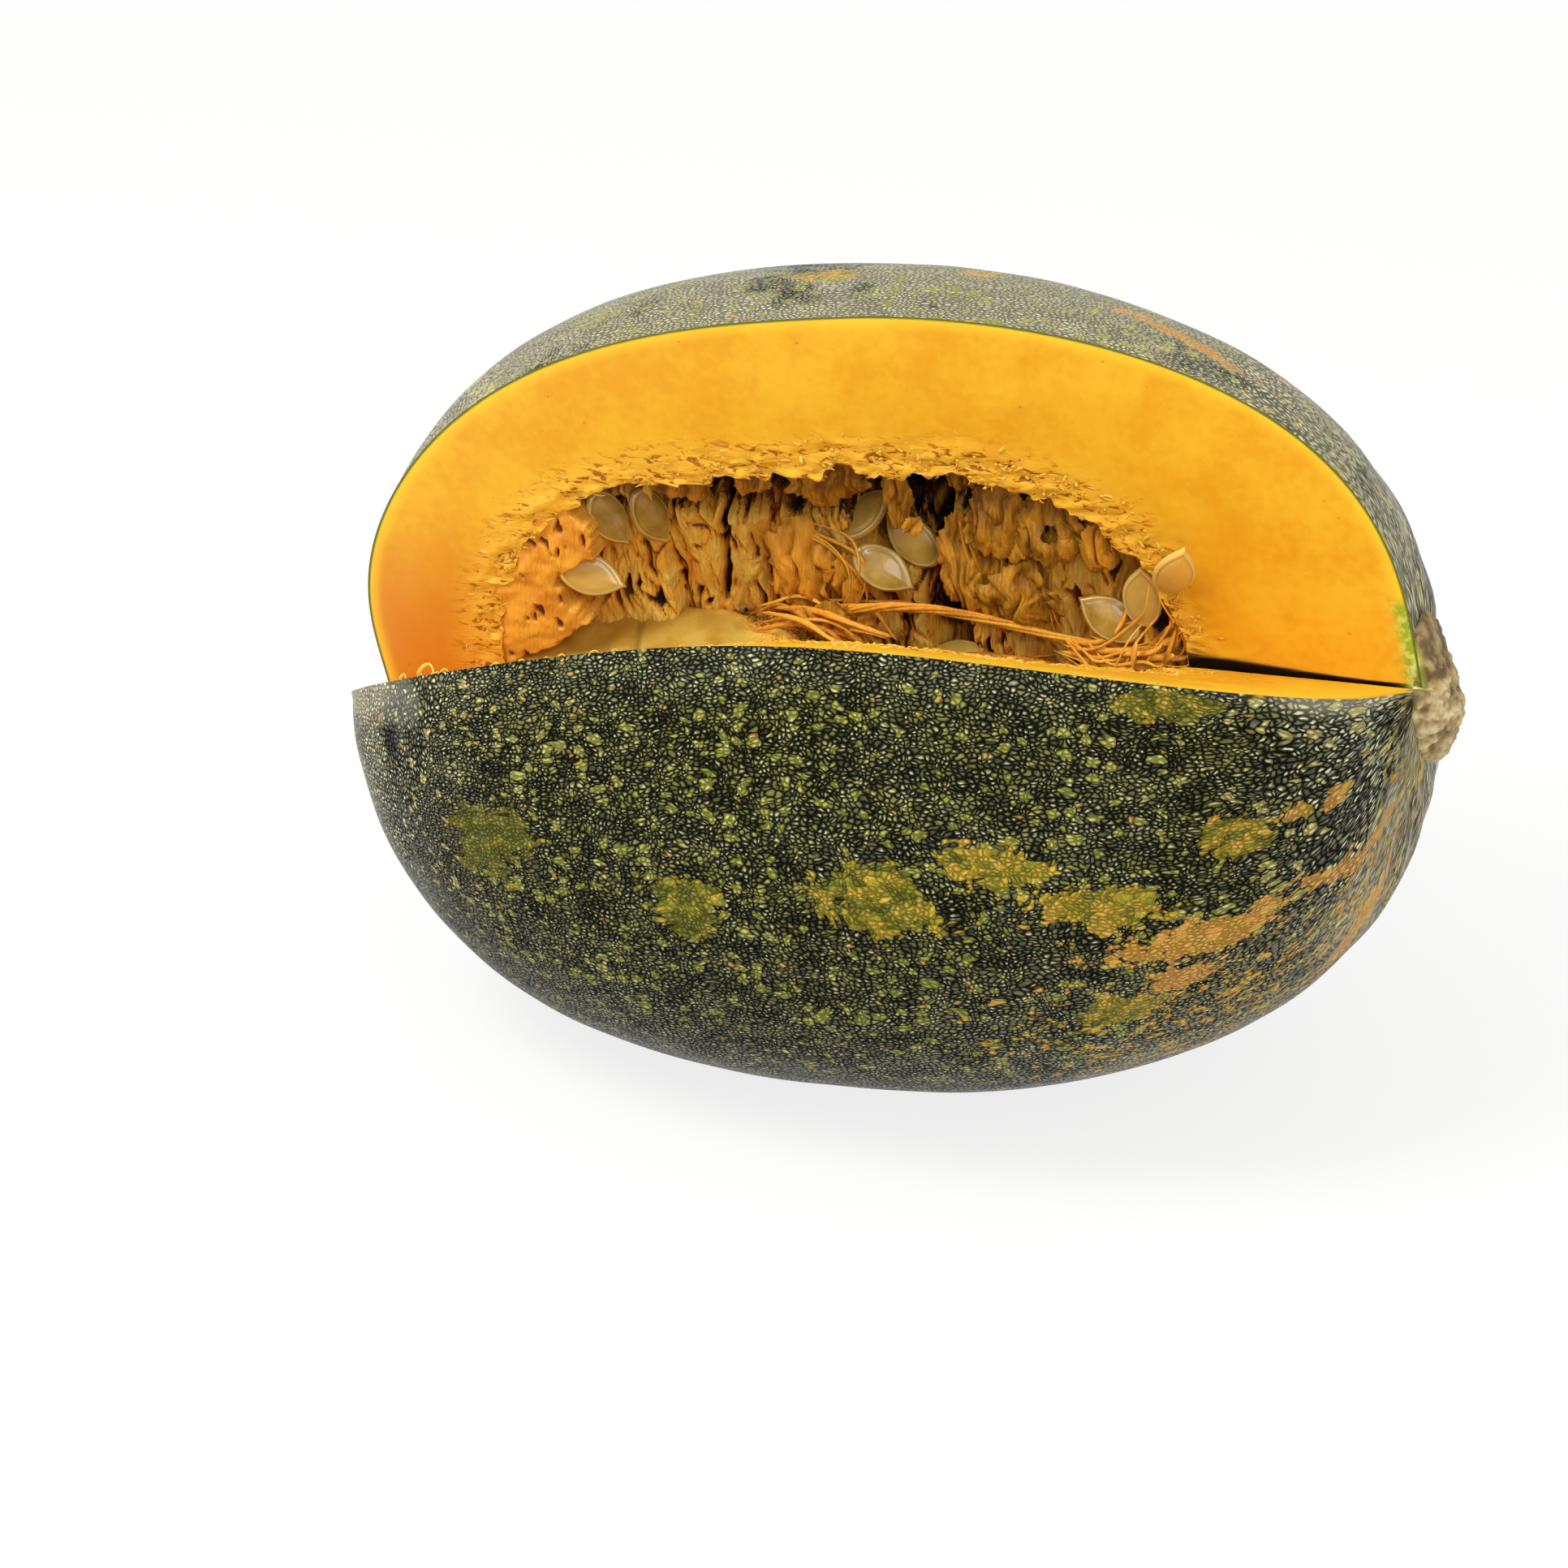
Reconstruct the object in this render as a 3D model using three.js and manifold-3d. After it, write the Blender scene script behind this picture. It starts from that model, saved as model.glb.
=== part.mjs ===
// Calabaza squash lying on its side, with one wedge-shaped slice cut out of its upper front.
// Millimetres, +Z up. The stem end points to +X, the open cut faces -Y, and the squash rests
// on z = 0 with its box centred on the origin.
//
// Everything is modelled in the squash's own frame first: x along its length towards the
// stem, y to the back, z up, with the origin on the axis at the widest section. One group
// then lays the finished pieces down at their resting angle.

import * as THREE from 'three';
import { mergeVertices } from 'three/addons/utils/BufferGeometryUtils.js';
import Module from 'manifold-3d';

const wasm = await Module();
wasm.setup();

const deg = THREE.MathUtils.degToRad;
const vec = (x, y, z) => new THREE.Vector3(x, y, z);

// ---------------------------------------------------------------------------------------
// Driving dimensions
// ---------------------------------------------------------------------------------------

// The rind: each half is a blunt superellipsoid with a dimple at its end. endPower shapes
// the end, sidePower the flank, and threeSided gives the section its three soft corners.
const rind = {
  bellyRadius: 98,
  threeSided: 0.025,
  stemHalf: { reach: 122.5, endPower: 1.87, sidePower: 3.03, dimple: 1.2, dimpleRadius: 24.5 },
  blossomHalf: { reach: 144.5, endPower: 2.74, sidePower: 1.93, dimple: 11, dimpleRadius: 26 },
};

// The seed hollow inside the flesh.
const hollow = {
  middle: vec(-12, 0, 0),
  radius: 58,
  stemHalf: { reach: 80, endPower: 3.4 },
  blossomHalf: { reach: 94, endPower: 4.4 },
};

// The cut: two knife planes that meet in one edge. The edge passes through edgePoint and
// dips towards both ends. The rear plane leans to the front, and the front plane stands
// open from it by the opening angle, which twists a little along the length.
const cut = {
  edgePoint: vec(1.9, -2.8, 12.8),
  lean: deg(11.4),
  turn: deg(8.5),
  stemDip: deg(5.8),
  blossomDip: deg(7.3),
  opening: deg(60.2),
  openingTwist: deg(1.7),
  openingWaist: deg(0.65),
};

// How the squash lies: the axis rises towards the stem, and the underside has a small
// pressed flat where it grew against the ground.
const rest = {
  pitch: deg(6.5),
  centre: vec(3.85, 0.1, 94.5),
};

// The corky stub of the stem, an uneven button that sits behind the end of the cut edge.
const stub = {
  centre: vec(121, 22, 0),
  thickness: 20,
  halfWidth: 12,
  halfHeight: 19,
  unevenness: 0.06,
  shoulderPower: 2.6,
};

// A flat oval seed with a pointed tip.
const seedSize = { length: 17, width: 10.4, thickness: 3.4, tipNarrowing: 0.42 };

const FIT_GAP = 0.35; // left between pieces that touch
const WALL_GAP = 0.9; // left between the pulp and the wall of the hollow
const FAR = 200; // longer than any ray inside the squash

const meshDensity = {
  lengthSteps: 34,
  rindSteps: 36,
  hollowSteps: 22,
  pulpSteps: 14,
  seedRings: 6,
  seedSides: 10,
};

// ---------------------------------------------------------------------------------------
// Materials
// ---------------------------------------------------------------------------------------

const finish = (color, roughness) => new THREE.MeshStandardMaterial({ color, roughness, metalness: 0 });

const finishes = {
  body: finish('#4d4b2a', 0.5),
  cork: finish('#9c8861', 0.85),
  pulp: finish('#d98a24', 0.45),
  strand: finish('#e8871c', 0.4),
  seed: finish('#c9a566', 0.35),
};

// ---------------------------------------------------------------------------------------
// Surfaces of the rind and the hollow: negative inside, positive outside
// ---------------------------------------------------------------------------------------

/** Level of the rind at a point: two half shapes that meet at the widest section. */
function rindLevel(p) {
  const corner = 1 - rind.threeSided * Math.sin(3 * Math.atan2(p.z, p.y));
  const radius = Math.hypot(p.y, p.z) / corner;
  const half = p.x > 0 ? rind.stemHalf : rind.blossomHalf;
  const sunk = half.dimple * Math.exp(-((radius / half.dimpleRadius) ** 2));
  const along = Math.max(Math.abs(p.x) + sunk, 0) / half.reach;
  return along ** half.endPower + (radius / rind.bellyRadius) ** half.sidePower - 1;
}

/** Level of the seed hollow at a point: round in section, with two different blunt ends. */
function hollowLevel(p) {
  const x = p.x - hollow.middle.x;
  const half = x > 0 ? hollow.stemHalf : hollow.blossomHalf;
  const across = Math.hypot(p.y, p.z) / hollow.radius;
  return (Math.abs(x) / half.reach) ** half.endPower + across ** 2 - 1;
}

/** Distance from start along a unit direction to where a level turns positive. */
function reachOf(level, start, direction) {
  let inside = 0;
  let outside = FAR;
  for (let step = 0; step < 40; step += 1) {
    const middle = (inside + outside) / 2;
    if (level(start.clone().addScaledVector(direction, middle)) < 0) {
      inside = middle;
    } else {
      outside = middle;
    }
  }
  return inside;
}

/** Distance from start along a unit direction to the plane that the squash rests on. */
function reachOfGround(start, direction) {
  const up = vec(Math.sin(rest.pitch), 0, Math.cos(rest.pitch));
  const fall = direction.dot(up);
  const height = rest.centre.z + start.dot(up);
  return fall < 0 ? height / -fall : Infinity;
}

// ---------------------------------------------------------------------------------------
// The cut's own directions: along its edge, up in the rear plane, and to the back
// ---------------------------------------------------------------------------------------

const alongEdge = vec(Math.cos(cut.turn), Math.sin(cut.turn), 0);
const levelBack = vec(-Math.sin(cut.turn), Math.cos(cut.turn), 0);
const upCut = vec(0, 0, Math.cos(cut.lean)).addScaledVector(levelBack, -Math.sin(cut.lean));
const backFromCut = vec(0, 0, Math.sin(cut.lean)).addScaledVector(levelBack, Math.cos(cut.lean));

/** Point given by its distances along the edge, up the rear plane and behind it. */
function atCut(along, up, behind) {
  return cut.edgePoint.clone()
    .addScaledVector(alongEdge, along)
    .addScaledVector(upCut, up)
    .addScaledVector(backFromCut, behind);
}

/**
 * Unit direction from the edge point. theta runs from the stem end (0) to the blossom end
 * (PI), and phi turns about the edge from the rear plane (0) over the removed wedge to the
 * front plane, and on round the underside and the back to the rear plane again (2 PI).
 */
function cutRay(theta, phi) {
  const cosine = Math.cos(theta);
  const dip = (cosine > 0 ? cut.stemDip : cut.blossomDip) * cosine * cosine;
  return vec(0, 0, 0)
    .addScaledVector(alongEdge, cosine)
    .addScaledVector(upCut, Math.sin(theta) * Math.cos(phi) - dip)
    .addScaledVector(backFromCut, -Math.sin(theta) * Math.sin(phi))
    .normalize();
}

/** Angle of the front plane at one place along the length. */
function frontAngle(theta) {
  return cut.opening + cut.openingTwist * Math.cos(theta) + cut.openingWaist * Math.cos(2 * theta);
}

// ---------------------------------------------------------------------------------------
// Meshes and solids
// ---------------------------------------------------------------------------------------

/** Triangles of a grid of points; pointAt takes two fractions from 0 to 1. */
function gridTriangles(rows, columns, pointAt) {
  const triangles = [];
  const point = (i, j) => pointAt(i / rows, j / columns);
  for (let i = 0; i < rows; i += 1) {
    for (let j = 0; j < columns; j += 1) {
      const [a, b, c, d] = [point(i, j), point(i + 1, j), point(i + 1, j + 1), point(i, j + 1)];
      triangles.push([a, b, c], [a, c, d]);
    }
  }
  return triangles;
}

/** The same triangles seen from the other side. */
function flipped(triangles) {
  return triangles.map(([a, b, c]) => [a, c, b]);
}

/** One geometry with shared corners, from triangles that close on themselves. */
function closedGeometry(triangles) {
  const touching = 1e-4;
  const real = triangles.filter(([a, b, c]) => a.distanceTo(b) > touching
    && b.distanceTo(c) > touching && c.distanceTo(a) > touching);
  const corners = real.flat().flatMap((p) => [p.x, p.y, p.z]);
  const geometry = new THREE.BufferGeometry();
  geometry.setAttribute('position', new THREE.Float32BufferAttribute(corners, 3));
  return mergeVertices(geometry, 1e-3);
}

/** Solid for cutting and joining, from a closed geometry. */
function solidOf(geometry) {
  return new wasm.Manifold(new wasm.Mesh({
    numProp: 3,
    vertProperties: new Float32Array(geometry.getAttribute('position').array),
    triVerts: new Uint32Array(geometry.getIndex().array),
  }));
}

/** Geometry of a finished solid. */
function geometryOf(solid) {
  const mesh = solid.getMesh();
  const geometry = new THREE.BufferGeometry();
  geometry.setAttribute('position', new THREE.BufferAttribute(mesh.vertProperties, 3));
  geometry.setIndex(new THREE.BufferAttribute(mesh.triVerts, 1));
  return geometry;
}

/** The largest connected body of a solid, without the crumbs that a cut leaves. */
function largestBody(solid) {
  return solid.decompose().reduce((best, body) => (body.volume() > best.volume() ? body : best));
}

/** Closed solid round a centre: the surface lies at distanceAt(direction) from it. */
function solidRound(centre, rows, columns, distanceAt) {
  return solidOf(closedGeometry(gridTriangles(rows, columns, (u, v) => {
    const theta = Math.PI * u;
    const phi = 2 * Math.PI * v;
    const direction = vec(
      Math.cos(theta),
      Math.sin(theta) * Math.cos(phi),
      Math.sin(theta) * Math.sin(phi),
    );
    return centre.clone().addScaledVector(direction, distanceAt(direction));
  })));
}

/** Closed slab between two grids of points that share their layout. */
function slab(rows, columns, frontAt, backAt) {
  const walls = [
    gridTriangles(rows, 1, (u, v) => (v < 0.5 ? backAt(u, 0) : frontAt(u, 0))),
    gridTriangles(rows, 1, (u, v) => (v < 0.5 ? frontAt(u, 1) : backAt(u, 1))),
    gridTriangles(1, columns, (u, v) => (u < 0.5 ? backAt(0, v) : frontAt(0, v))),
    gridTriangles(1, columns, (u, v) => (u < 0.5 ? frontAt(1, v) : backAt(1, v))),
  ];
  return solidOf(closedGeometry([
    ...gridTriangles(rows, columns, frontAt),
    ...flipped(gridTriangles(rows, columns, backAt)),
    ...walls.flat(),
  ]));
}

// ---------------------------------------------------------------------------------------
// The squash's body: rind and flesh in one piece, hollow inside, with the wedge removed
// ---------------------------------------------------------------------------------------

const { lengthSteps, rindSteps, hollowSteps, pulpSteps } = meshDensity;

/** Point on the rind, or on the pressed flat where that is nearer. */
function rindPoint(theta, phi) {
  const ray = cutRay(theta, phi);
  const skin = reachOf(rindLevel, cut.edgePoint, ray);
  const ground = reachOfGround(cut.edgePoint, ray);
  return cut.edgePoint.clone().addScaledVector(ray, Math.min(skin, ground));
}

/** Point on the wall of the hollow. */
function hollowPoint(theta, phi) {
  const ray = cutRay(theta, phi);
  return cut.edgePoint.clone().addScaledVector(ray, reachOf(hollowLevel, cut.edgePoint, ray));
}

/** Angle about the edge, from the front plane (0) round the underside to the rear plane (1). */
function angleAround(theta, fraction) {
  return THREE.MathUtils.lerp(frontAngle(theta), 2 * Math.PI, fraction);
}

/** The remaining body: two skins over the same angles, closed by the two cut faces. */
function squashBody() {
  const skin = (pointOf) => (u, v) => pointOf(Math.PI * u, angleAround(Math.PI * u, v));
  const cutFace = (side) => (u, v) => {
    const pointOf = v < 0.5 ? hollowPoint : rindPoint;
    return pointOf(Math.PI * u, angleAround(Math.PI * u, side));
  };
  return closedGeometry([
    ...gridTriangles(lengthSteps, rindSteps, skin(rindPoint)),
    ...flipped(gridTriangles(lengthSteps, hollowSteps, skin(hollowPoint))),
    ...gridTriangles(lengthSteps, 1, cutFace(0)),
    ...flipped(gridTriangles(lengthSteps, 1, cutFace(1))),
  ]);
}

// ---------------------------------------------------------------------------------------
// The stem stub: an oval button on the rind, with the same wedge cut out of it
// ---------------------------------------------------------------------------------------

/** The removed wedge as a solid that reaches past the squash. */
function removedWedge() {
  const rows = 24;
  const columns = 8;
  const rim = (u, v) => {
    const theta = Math.PI * u;
    const ray = cutRay(theta, frontAngle(theta) * v);
    return cut.edgePoint.clone().addScaledVector(ray, FAR);
  };
  const face = (side) => (u, v) => (v < 0.5 ? cut.edgePoint.clone() : rim(u, side));
  return solidOf(closedGeometry([
    ...gridTriangles(rows, columns, rim),
    ...gridTriangles(rows, 1, face(0)),
    ...flipped(gridTriangles(rows, 1, face(1))),
  ]));
}

/** The stub: an oval superellipsoid, rougher round its crown, set on the rind. */
function stemStub() {
  const button = solidRound(stub.centre, 14, 18, (direction) => {
    const along = Math.abs(direction.x) / (stub.thickness / 2);
    const across = Math.hypot(direction.y / stub.halfWidth, direction.z / stub.halfHeight);
    const plain = (along ** stub.shoulderPower + across ** stub.shoulderPower)
      ** (-1 / stub.shoulderPower);
    return plain * (1 + stub.unevenness * Math.sin(4 * direction.y + 5 * direction.z));
  });
  const origin = vec(0, 0, 0);
  const grownSquash = solidRound(origin, 40, 40, (direction) => {
    return reachOf(rindLevel, origin, direction) + 2 * FIT_GAP;
  });
  return geometryOf(largestBody(button.subtract(grownSquash).subtract(removedWedge())));
}

// ---------------------------------------------------------------------------------------
// Seeds
// ---------------------------------------------------------------------------------------

/** One seed, grown by a margin: rings along its length, thin and oval, narrow at the tip. */
function seedGeometry(margin = 0) {
  const half = {
    length: seedSize.length / 2 + margin,
    width: seedSize.width / 2 + margin,
    thickness: seedSize.thickness / 2 + margin,
  };
  return closedGeometry(gridTriangles(meshDensity.seedRings, meshDensity.seedSides, (u, v) => {
    const along = -Math.cos(Math.PI * u);
    const round = Math.sin(Math.PI * u);
    const narrowing = 1 - seedSize.tipNarrowing * Math.max(along, 0) ** 2;
    const turn = -2 * Math.PI * v;
    return vec(
      half.length * along,
      half.width * round * narrowing * Math.cos(turn),
      half.thickness * Math.sqrt(round) * round * Math.sin(turn),
    );
  }));
}

/** Turn that points a seed's tip one way and its flat face another, in the cut's directions. */
function seedTurn(tip, face) {
  const inCut = ([along, up, behind]) => vec(0, 0, 0)
    .addScaledVector(alongEdge, along)
    .addScaledVector(upCut, up)
    .addScaledVector(backFromCut, behind);
  const length = inCut(tip).normalize();
  const across = inCut(face).cross(length).normalize();
  return new THREE.Matrix4().makeBasis(length, across, length.clone().cross(across));
}

// Where the seeds hang behind the rear plane: [along, up, behind] the cut edge, then the
// way the tip points and the way the flat face looks, in the same directions.
const hangingSeeds = [
  { at: [-81, 14, 4], tip: [0.9, -0.4, 0.1], face: [0.1, 0.45, -1] },
  { at: [-76, 27, 9], tip: [0.35, -0.9, 0.1], face: [0.7, 0.3, -0.9] },
  { at: [-67, 25, 14.5], tip: [0.3, -0.95, 0.1], face: [0.6, 0.2, -0.9] },
  { at: [-27, 13, 16], tip: [0.15, 1, 0.1], face: [0.8, 0.1, -0.7] },
  { at: [-14, 23, 19], tip: [0.75, 0.6, 0.2], face: [-0.3, 0.9, -0.6] },
  { at: [-4, 16, 19], tip: [-0.6, 0.5, 0.2], face: [0.1, 0.3, -1] },
  { at: [-10, 11, 13], tip: [0.8, -0.55, -0.1], face: [0.1, 0.6, -0.8] },
  { at: [9, 12, 19], tip: [0.1, 1, 0], face: [-0.5, 0.1, -0.9] },
  { at: [46, 2, 7], tip: [-0.8, 0.55, 0.1], face: [0.2, 0.7, -0.8] },
  { at: [56, 10, 4], tip: [0.1, 1, 0], face: [0, 0.2, -1] },
  { at: [67, 21, -3.4], tip: [0.45, 0.9, -0.25], face: [0.3, -0.1, -1] },
  { at: [2, -17, 18], tip: [0.9, 0.2, 0.2], face: [0, 1, -0.4] },
  { at: [14, -21, 17], tip: [-0.8, 0.1, 0.5], face: [0.1, 1, -0.5] },
];

// Rows of seeds that lie on the pulp bed in front of the cut edge.
const beddedRows = [
  { behind: -13, first: -74, last: 46, count: 6 },
  { behind: -30, first: -62, last: 40, count: 5 },
];

/** The bedded seeds: evenly spaced in their rows, each turned a little further. */
function beddedSeeds() {
  return beddedRows.flatMap((row, rowNumber) => Array.from({ length: row.count }, (_, index) => {
    const along = THREE.MathUtils.lerp(row.first, row.last, index / (row.count - 1));
    const behind = row.behind + 2.5 * Math.sin(2.4 * index + rowNumber);
    const heading = 2.4 * index + 1.1 * rowNumber;
    return {
      at: [along, bedHeight(along, behind) + 0.6, behind],
      tip: [Math.cos(heading), 0.15, Math.sin(heading)],
      face: [0.25 * Math.sin(heading), 1, 0.35],
    };
  }));
}

/** Matrix that takes a seed from its own frame to its place in the squash. */
function seedPlace({ at, tip, face }) {
  return seedTurn(tip, face).setPosition(atCut(...at));
}

// ---------------------------------------------------------------------------------------
// Pulp: a bed in the bottom of the hollow, and masses that hang behind the rear plane
// ---------------------------------------------------------------------------------------

const pulpBed = {
  blossomHeight: -15,
  stemHeight: -29,
  step: { from: -24, to: 14 },
  frontRise: 0.4,
  frontStart: 9,
  pad: { along: -58, halfLength: 32, behind: 14, halfDepth: 17, rise: 8 },
};

/** Height of the bed over the cut's level: it sinks to the stem and rises to the front. */
function bedHeight(along, behind) {
  const { pad } = pulpBed;
  const sink = THREE.MathUtils.smoothstep(along, pulpBed.step.from, pulpBed.step.to);
  const level = THREE.MathUtils.lerp(pulpBed.blossomHeight, pulpBed.stemHeight, sink);
  const front = pulpBed.frontRise * Math.max(-behind - pulpBed.frontStart, 0);
  const offPad = Math.hypot((along - pad.along) / pad.halfLength, (behind - pad.behind) / pad.halfDepth);
  return level + front + pad.rise * (1 - THREE.MathUtils.smoothstep(offPad, 0.55, 1.1));
}

/** Solid of all that lies under the bed's surface, raised by a margin. */
function underBed(margin) {
  const span = (fraction, from, to) => THREE.MathUtils.lerp(from, to, fraction);
  const surface = (u, v) => {
    const along = span(u, -120, 90);
    const behind = span(v, -70, 75);
    return atCut(along, bedHeight(along, behind) + margin, behind);
  };
  const floor = (u, v) => atCut(span(u, -120, 90), -110, span(v, -70, 75));
  return slab(pulpSteps, pulpSteps, surface, floor);
}

// Masses of pulp that still hang on the rear wall. Each spans a stretch of the edge, from
// its foot up to its top; its front stands foot.behind and top.behind back from the plane.
const hangingPulp = {
  pulp_blossom_end: { from: -108, to: -66, low: -40, high: 39, footBehind: 2, topBehind: 5, ridge: 0.8 },
  pulp_curtain_blossom: { from: -65.4, to: 1, low: -40, high: 27, footBehind: 25, topBehind: 15, ridge: 1.6 },
  pulp_curtain_stem: { from: 8, to: 53, low: -40, high: 29, footBehind: 17, topBehind: 15, ridge: 1.6 },
  pulp_stem_end: { from: 53.6, to: 80, low: -14, high: 15, footBehind: 4, topBehind: 9, ridge: 0.8 },
};

/** One hanging mass: a slab with a fluted front, to be trimmed by the hollow and the bed. */
function hangingMass({ from, to, low, high, footBehind, topBehind, ridge }) {
  const fluteSpacing = 13;
  const place = (u, v, behindAt) => {
    const along = THREE.MathUtils.lerp(from, to, u);
    const top = high + 1.5 * Math.sin(along / 6);
    return atCut(along, THREE.MathUtils.lerp(low, top, v), behindAt(along, v));
  };
  const front = (along, v) => {
    const flute = ridge * Math.cos((2 * Math.PI * along) / fluteSpacing);
    return THREE.MathUtils.lerp(footBehind, topBehind, v) + flute;
  };
  const rows = Math.ceil((to - from) / (fluteSpacing / 4));
  return slab(rows, 4, (u, v) => place(u, v, front), (u, v) => place(u, v, () => 80));
}

// The thick strand that crosses the hollow just behind the rear plane.
const strand = {
  route: [[-24, 0, 12], [-16, 3, 8], [-6, 5, 6], [6, 4, 6], [20, 0, 7], [34, -5, 8], [46, -7, 8]],
  radius: 1.6,
  flatness: 0.6,
  steps: 18,
  sides: 8,
};

/** The strand: an oval section carried along a smooth curve. */
function crossingStrand() {
  const path = new THREE.CatmullRomCurve3(strand.route.map((place) => atCut(...place)));
  const section = new THREE.Shape();
  section.absellipse(0, 0, strand.radius, strand.radius * strand.flatness, 0, 2 * Math.PI);
  const geometry = new THREE.ExtrudeGeometry(section, {
    steps: strand.steps,
    extrudePath: path,
    curveSegments: strand.sides / 2,
  });
  geometry.deleteAttribute('normal');
  geometry.deleteAttribute('uv');
  return mergeVertices(geometry, 1e-3);
}

/** All pulp pieces by name, trimmed by each other and with pockets for the seeds. */
function pulpPieces(seeds) {
  const inHollow = solidRound(hollow.middle, 20, 24, (direction) => {
    return reachOf(hollowLevel, hollow.middle, direction) - WALL_GAP;
  });
  const seedPocket = seedGeometry(FIT_GAP);
  const pockets = seeds.map((seed) => solidOf(seedPocket.clone().applyMatrix4(seedPlace(seed))));
  const withPockets = (solid) => pockets.reduce((left, pocket) => left.subtract(pocket), solid);
  const pieces = { pulp_bed: withPockets(inHollow.intersect(underBed(0))) };
  const raisedBed = underBed(FIT_GAP);
  for (const [name, mass] of Object.entries(hangingPulp)) {
    pieces[name] = withPockets(inHollow.intersect(hangingMass(mass)).subtract(raisedBed));
  }
  return pieces;
}

// ---------------------------------------------------------------------------------------
// Assembly
// ---------------------------------------------------------------------------------------

const squash = new THREE.Group();
squash.rotation.y = -rest.pitch;
squash.position.copy(rest.centre);

/** Adds one named piece to the squash, and returns it. */
function addPiece(name, geometry, material) {
  const mesh = new THREE.Mesh(geometry, material);
  mesh.name = name;
  squash.add(mesh);
  return mesh;
}

const seeds = [...hangingSeeds, ...beddedSeeds()];

addPiece('squash_body', squashBody(), finishes.body);
addPiece('stem_stub', stemStub(), finishes.cork);
for (const [name, solid] of Object.entries(pulpPieces(seeds))) {
  addPiece(name, geometryOf(largestBody(solid)), finishes.pulp);
}
addPiece('crossing_strand', crossingStrand(), finishes.strand);
seeds.forEach((seed, index) => {
  const name = `seed_${String(index + 1).padStart(2, '0')}`;
  const mesh = addPiece(name, seedGeometry(), finishes.seed);
  mesh.applyMatrix4(seedPlace(seed));
});

export default squash;
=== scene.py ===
"""Calabaza squash with one slice cut out of it: the visual model on its CAD frame.

The shapes are worked out in the squash's own frame, in millimetres: x along its length to
the stem, y to the back, z up, with the origin on the axis at the widest section. Two knife
planes meet in one edge. Places inside the cut are given as [along the edge, up the rear
plane, behind it]. The resting pitch then lays everything down in the frame of the CAD.
"""

import itertools
import logging
import math
from collections.abc import Callable, Sequence
from dataclasses import dataclass, field
from enum import Enum
from functools import partial
from typing import ClassVar

import bpy
import numpy as np
from mathutils import Matrix


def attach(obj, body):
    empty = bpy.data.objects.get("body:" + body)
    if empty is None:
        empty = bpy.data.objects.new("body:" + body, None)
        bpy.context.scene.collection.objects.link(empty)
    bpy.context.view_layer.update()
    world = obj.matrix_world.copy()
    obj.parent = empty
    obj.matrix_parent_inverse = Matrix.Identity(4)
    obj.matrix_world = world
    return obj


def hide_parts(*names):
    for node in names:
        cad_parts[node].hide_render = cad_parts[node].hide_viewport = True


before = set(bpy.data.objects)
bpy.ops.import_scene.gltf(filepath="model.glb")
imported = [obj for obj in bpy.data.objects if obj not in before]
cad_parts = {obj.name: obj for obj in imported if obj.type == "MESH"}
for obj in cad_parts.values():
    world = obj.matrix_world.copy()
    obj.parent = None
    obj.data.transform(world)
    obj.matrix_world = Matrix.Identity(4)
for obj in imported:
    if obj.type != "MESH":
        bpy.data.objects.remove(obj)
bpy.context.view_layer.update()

log = logging.getLogger("calabaza")
Array = np.ndarray
Material = bpy.types.Material
Level = Callable[[Array], Array]
Pair = tuple[float, float]
Triple = tuple[float, float, float]
MILLIMETRE = 0.001
IN_MM = (1000, 1000, 1000)
WELD_MM = 1e-4
TURN = 2 * math.pi


# ==== Small tools for arrays of points ====


def unit(vectors: Array) -> Array:
    """The same directions with length one."""
    return vectors / np.maximum(np.linalg.norm(vectors, axis=-1, keepdims=True), 1e-12)


def smoothstep(values: Array, low: float, high: float) -> Array:
    """Cubic ramp: 0 below low, 1 above high, 3t^2 - 2t^3 between them."""
    share = np.clip((values - low) / (high - low), 0, 1)
    return share * share * (3 - 2 * share)


def fade(values: Array, low: float, high: float) -> Array:
    """The same ramp the other way: 1 below low and 0 above high."""
    return 1 - smoothstep(values, low, high)


def bell(values: Array, middle: float, width: float) -> Array:
    """Bump that is 1 at the middle and 1/e one width away."""
    return np.exp(-(((values - middle) / width) ** 2))


def oval(x: Array, y: Array, middle: Pair, half: Pair) -> Array:
    """Distance of (x, y) from an oval's middle over its half sizes: 1 on its edge."""
    return np.hypot((x - middle[0]) / half[0], (y - middle[1]) / half[1])


def stacked(*parts: Array | float) -> Array:
    """Points from their coordinates, brought to one shape."""
    return np.stack(np.broadcast_arrays(*parts), axis=-1)


def mix(start: Array, end: Array, share: Array) -> Array:
    """Straight blend from start to end."""
    return start + (end - start) * share


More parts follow.
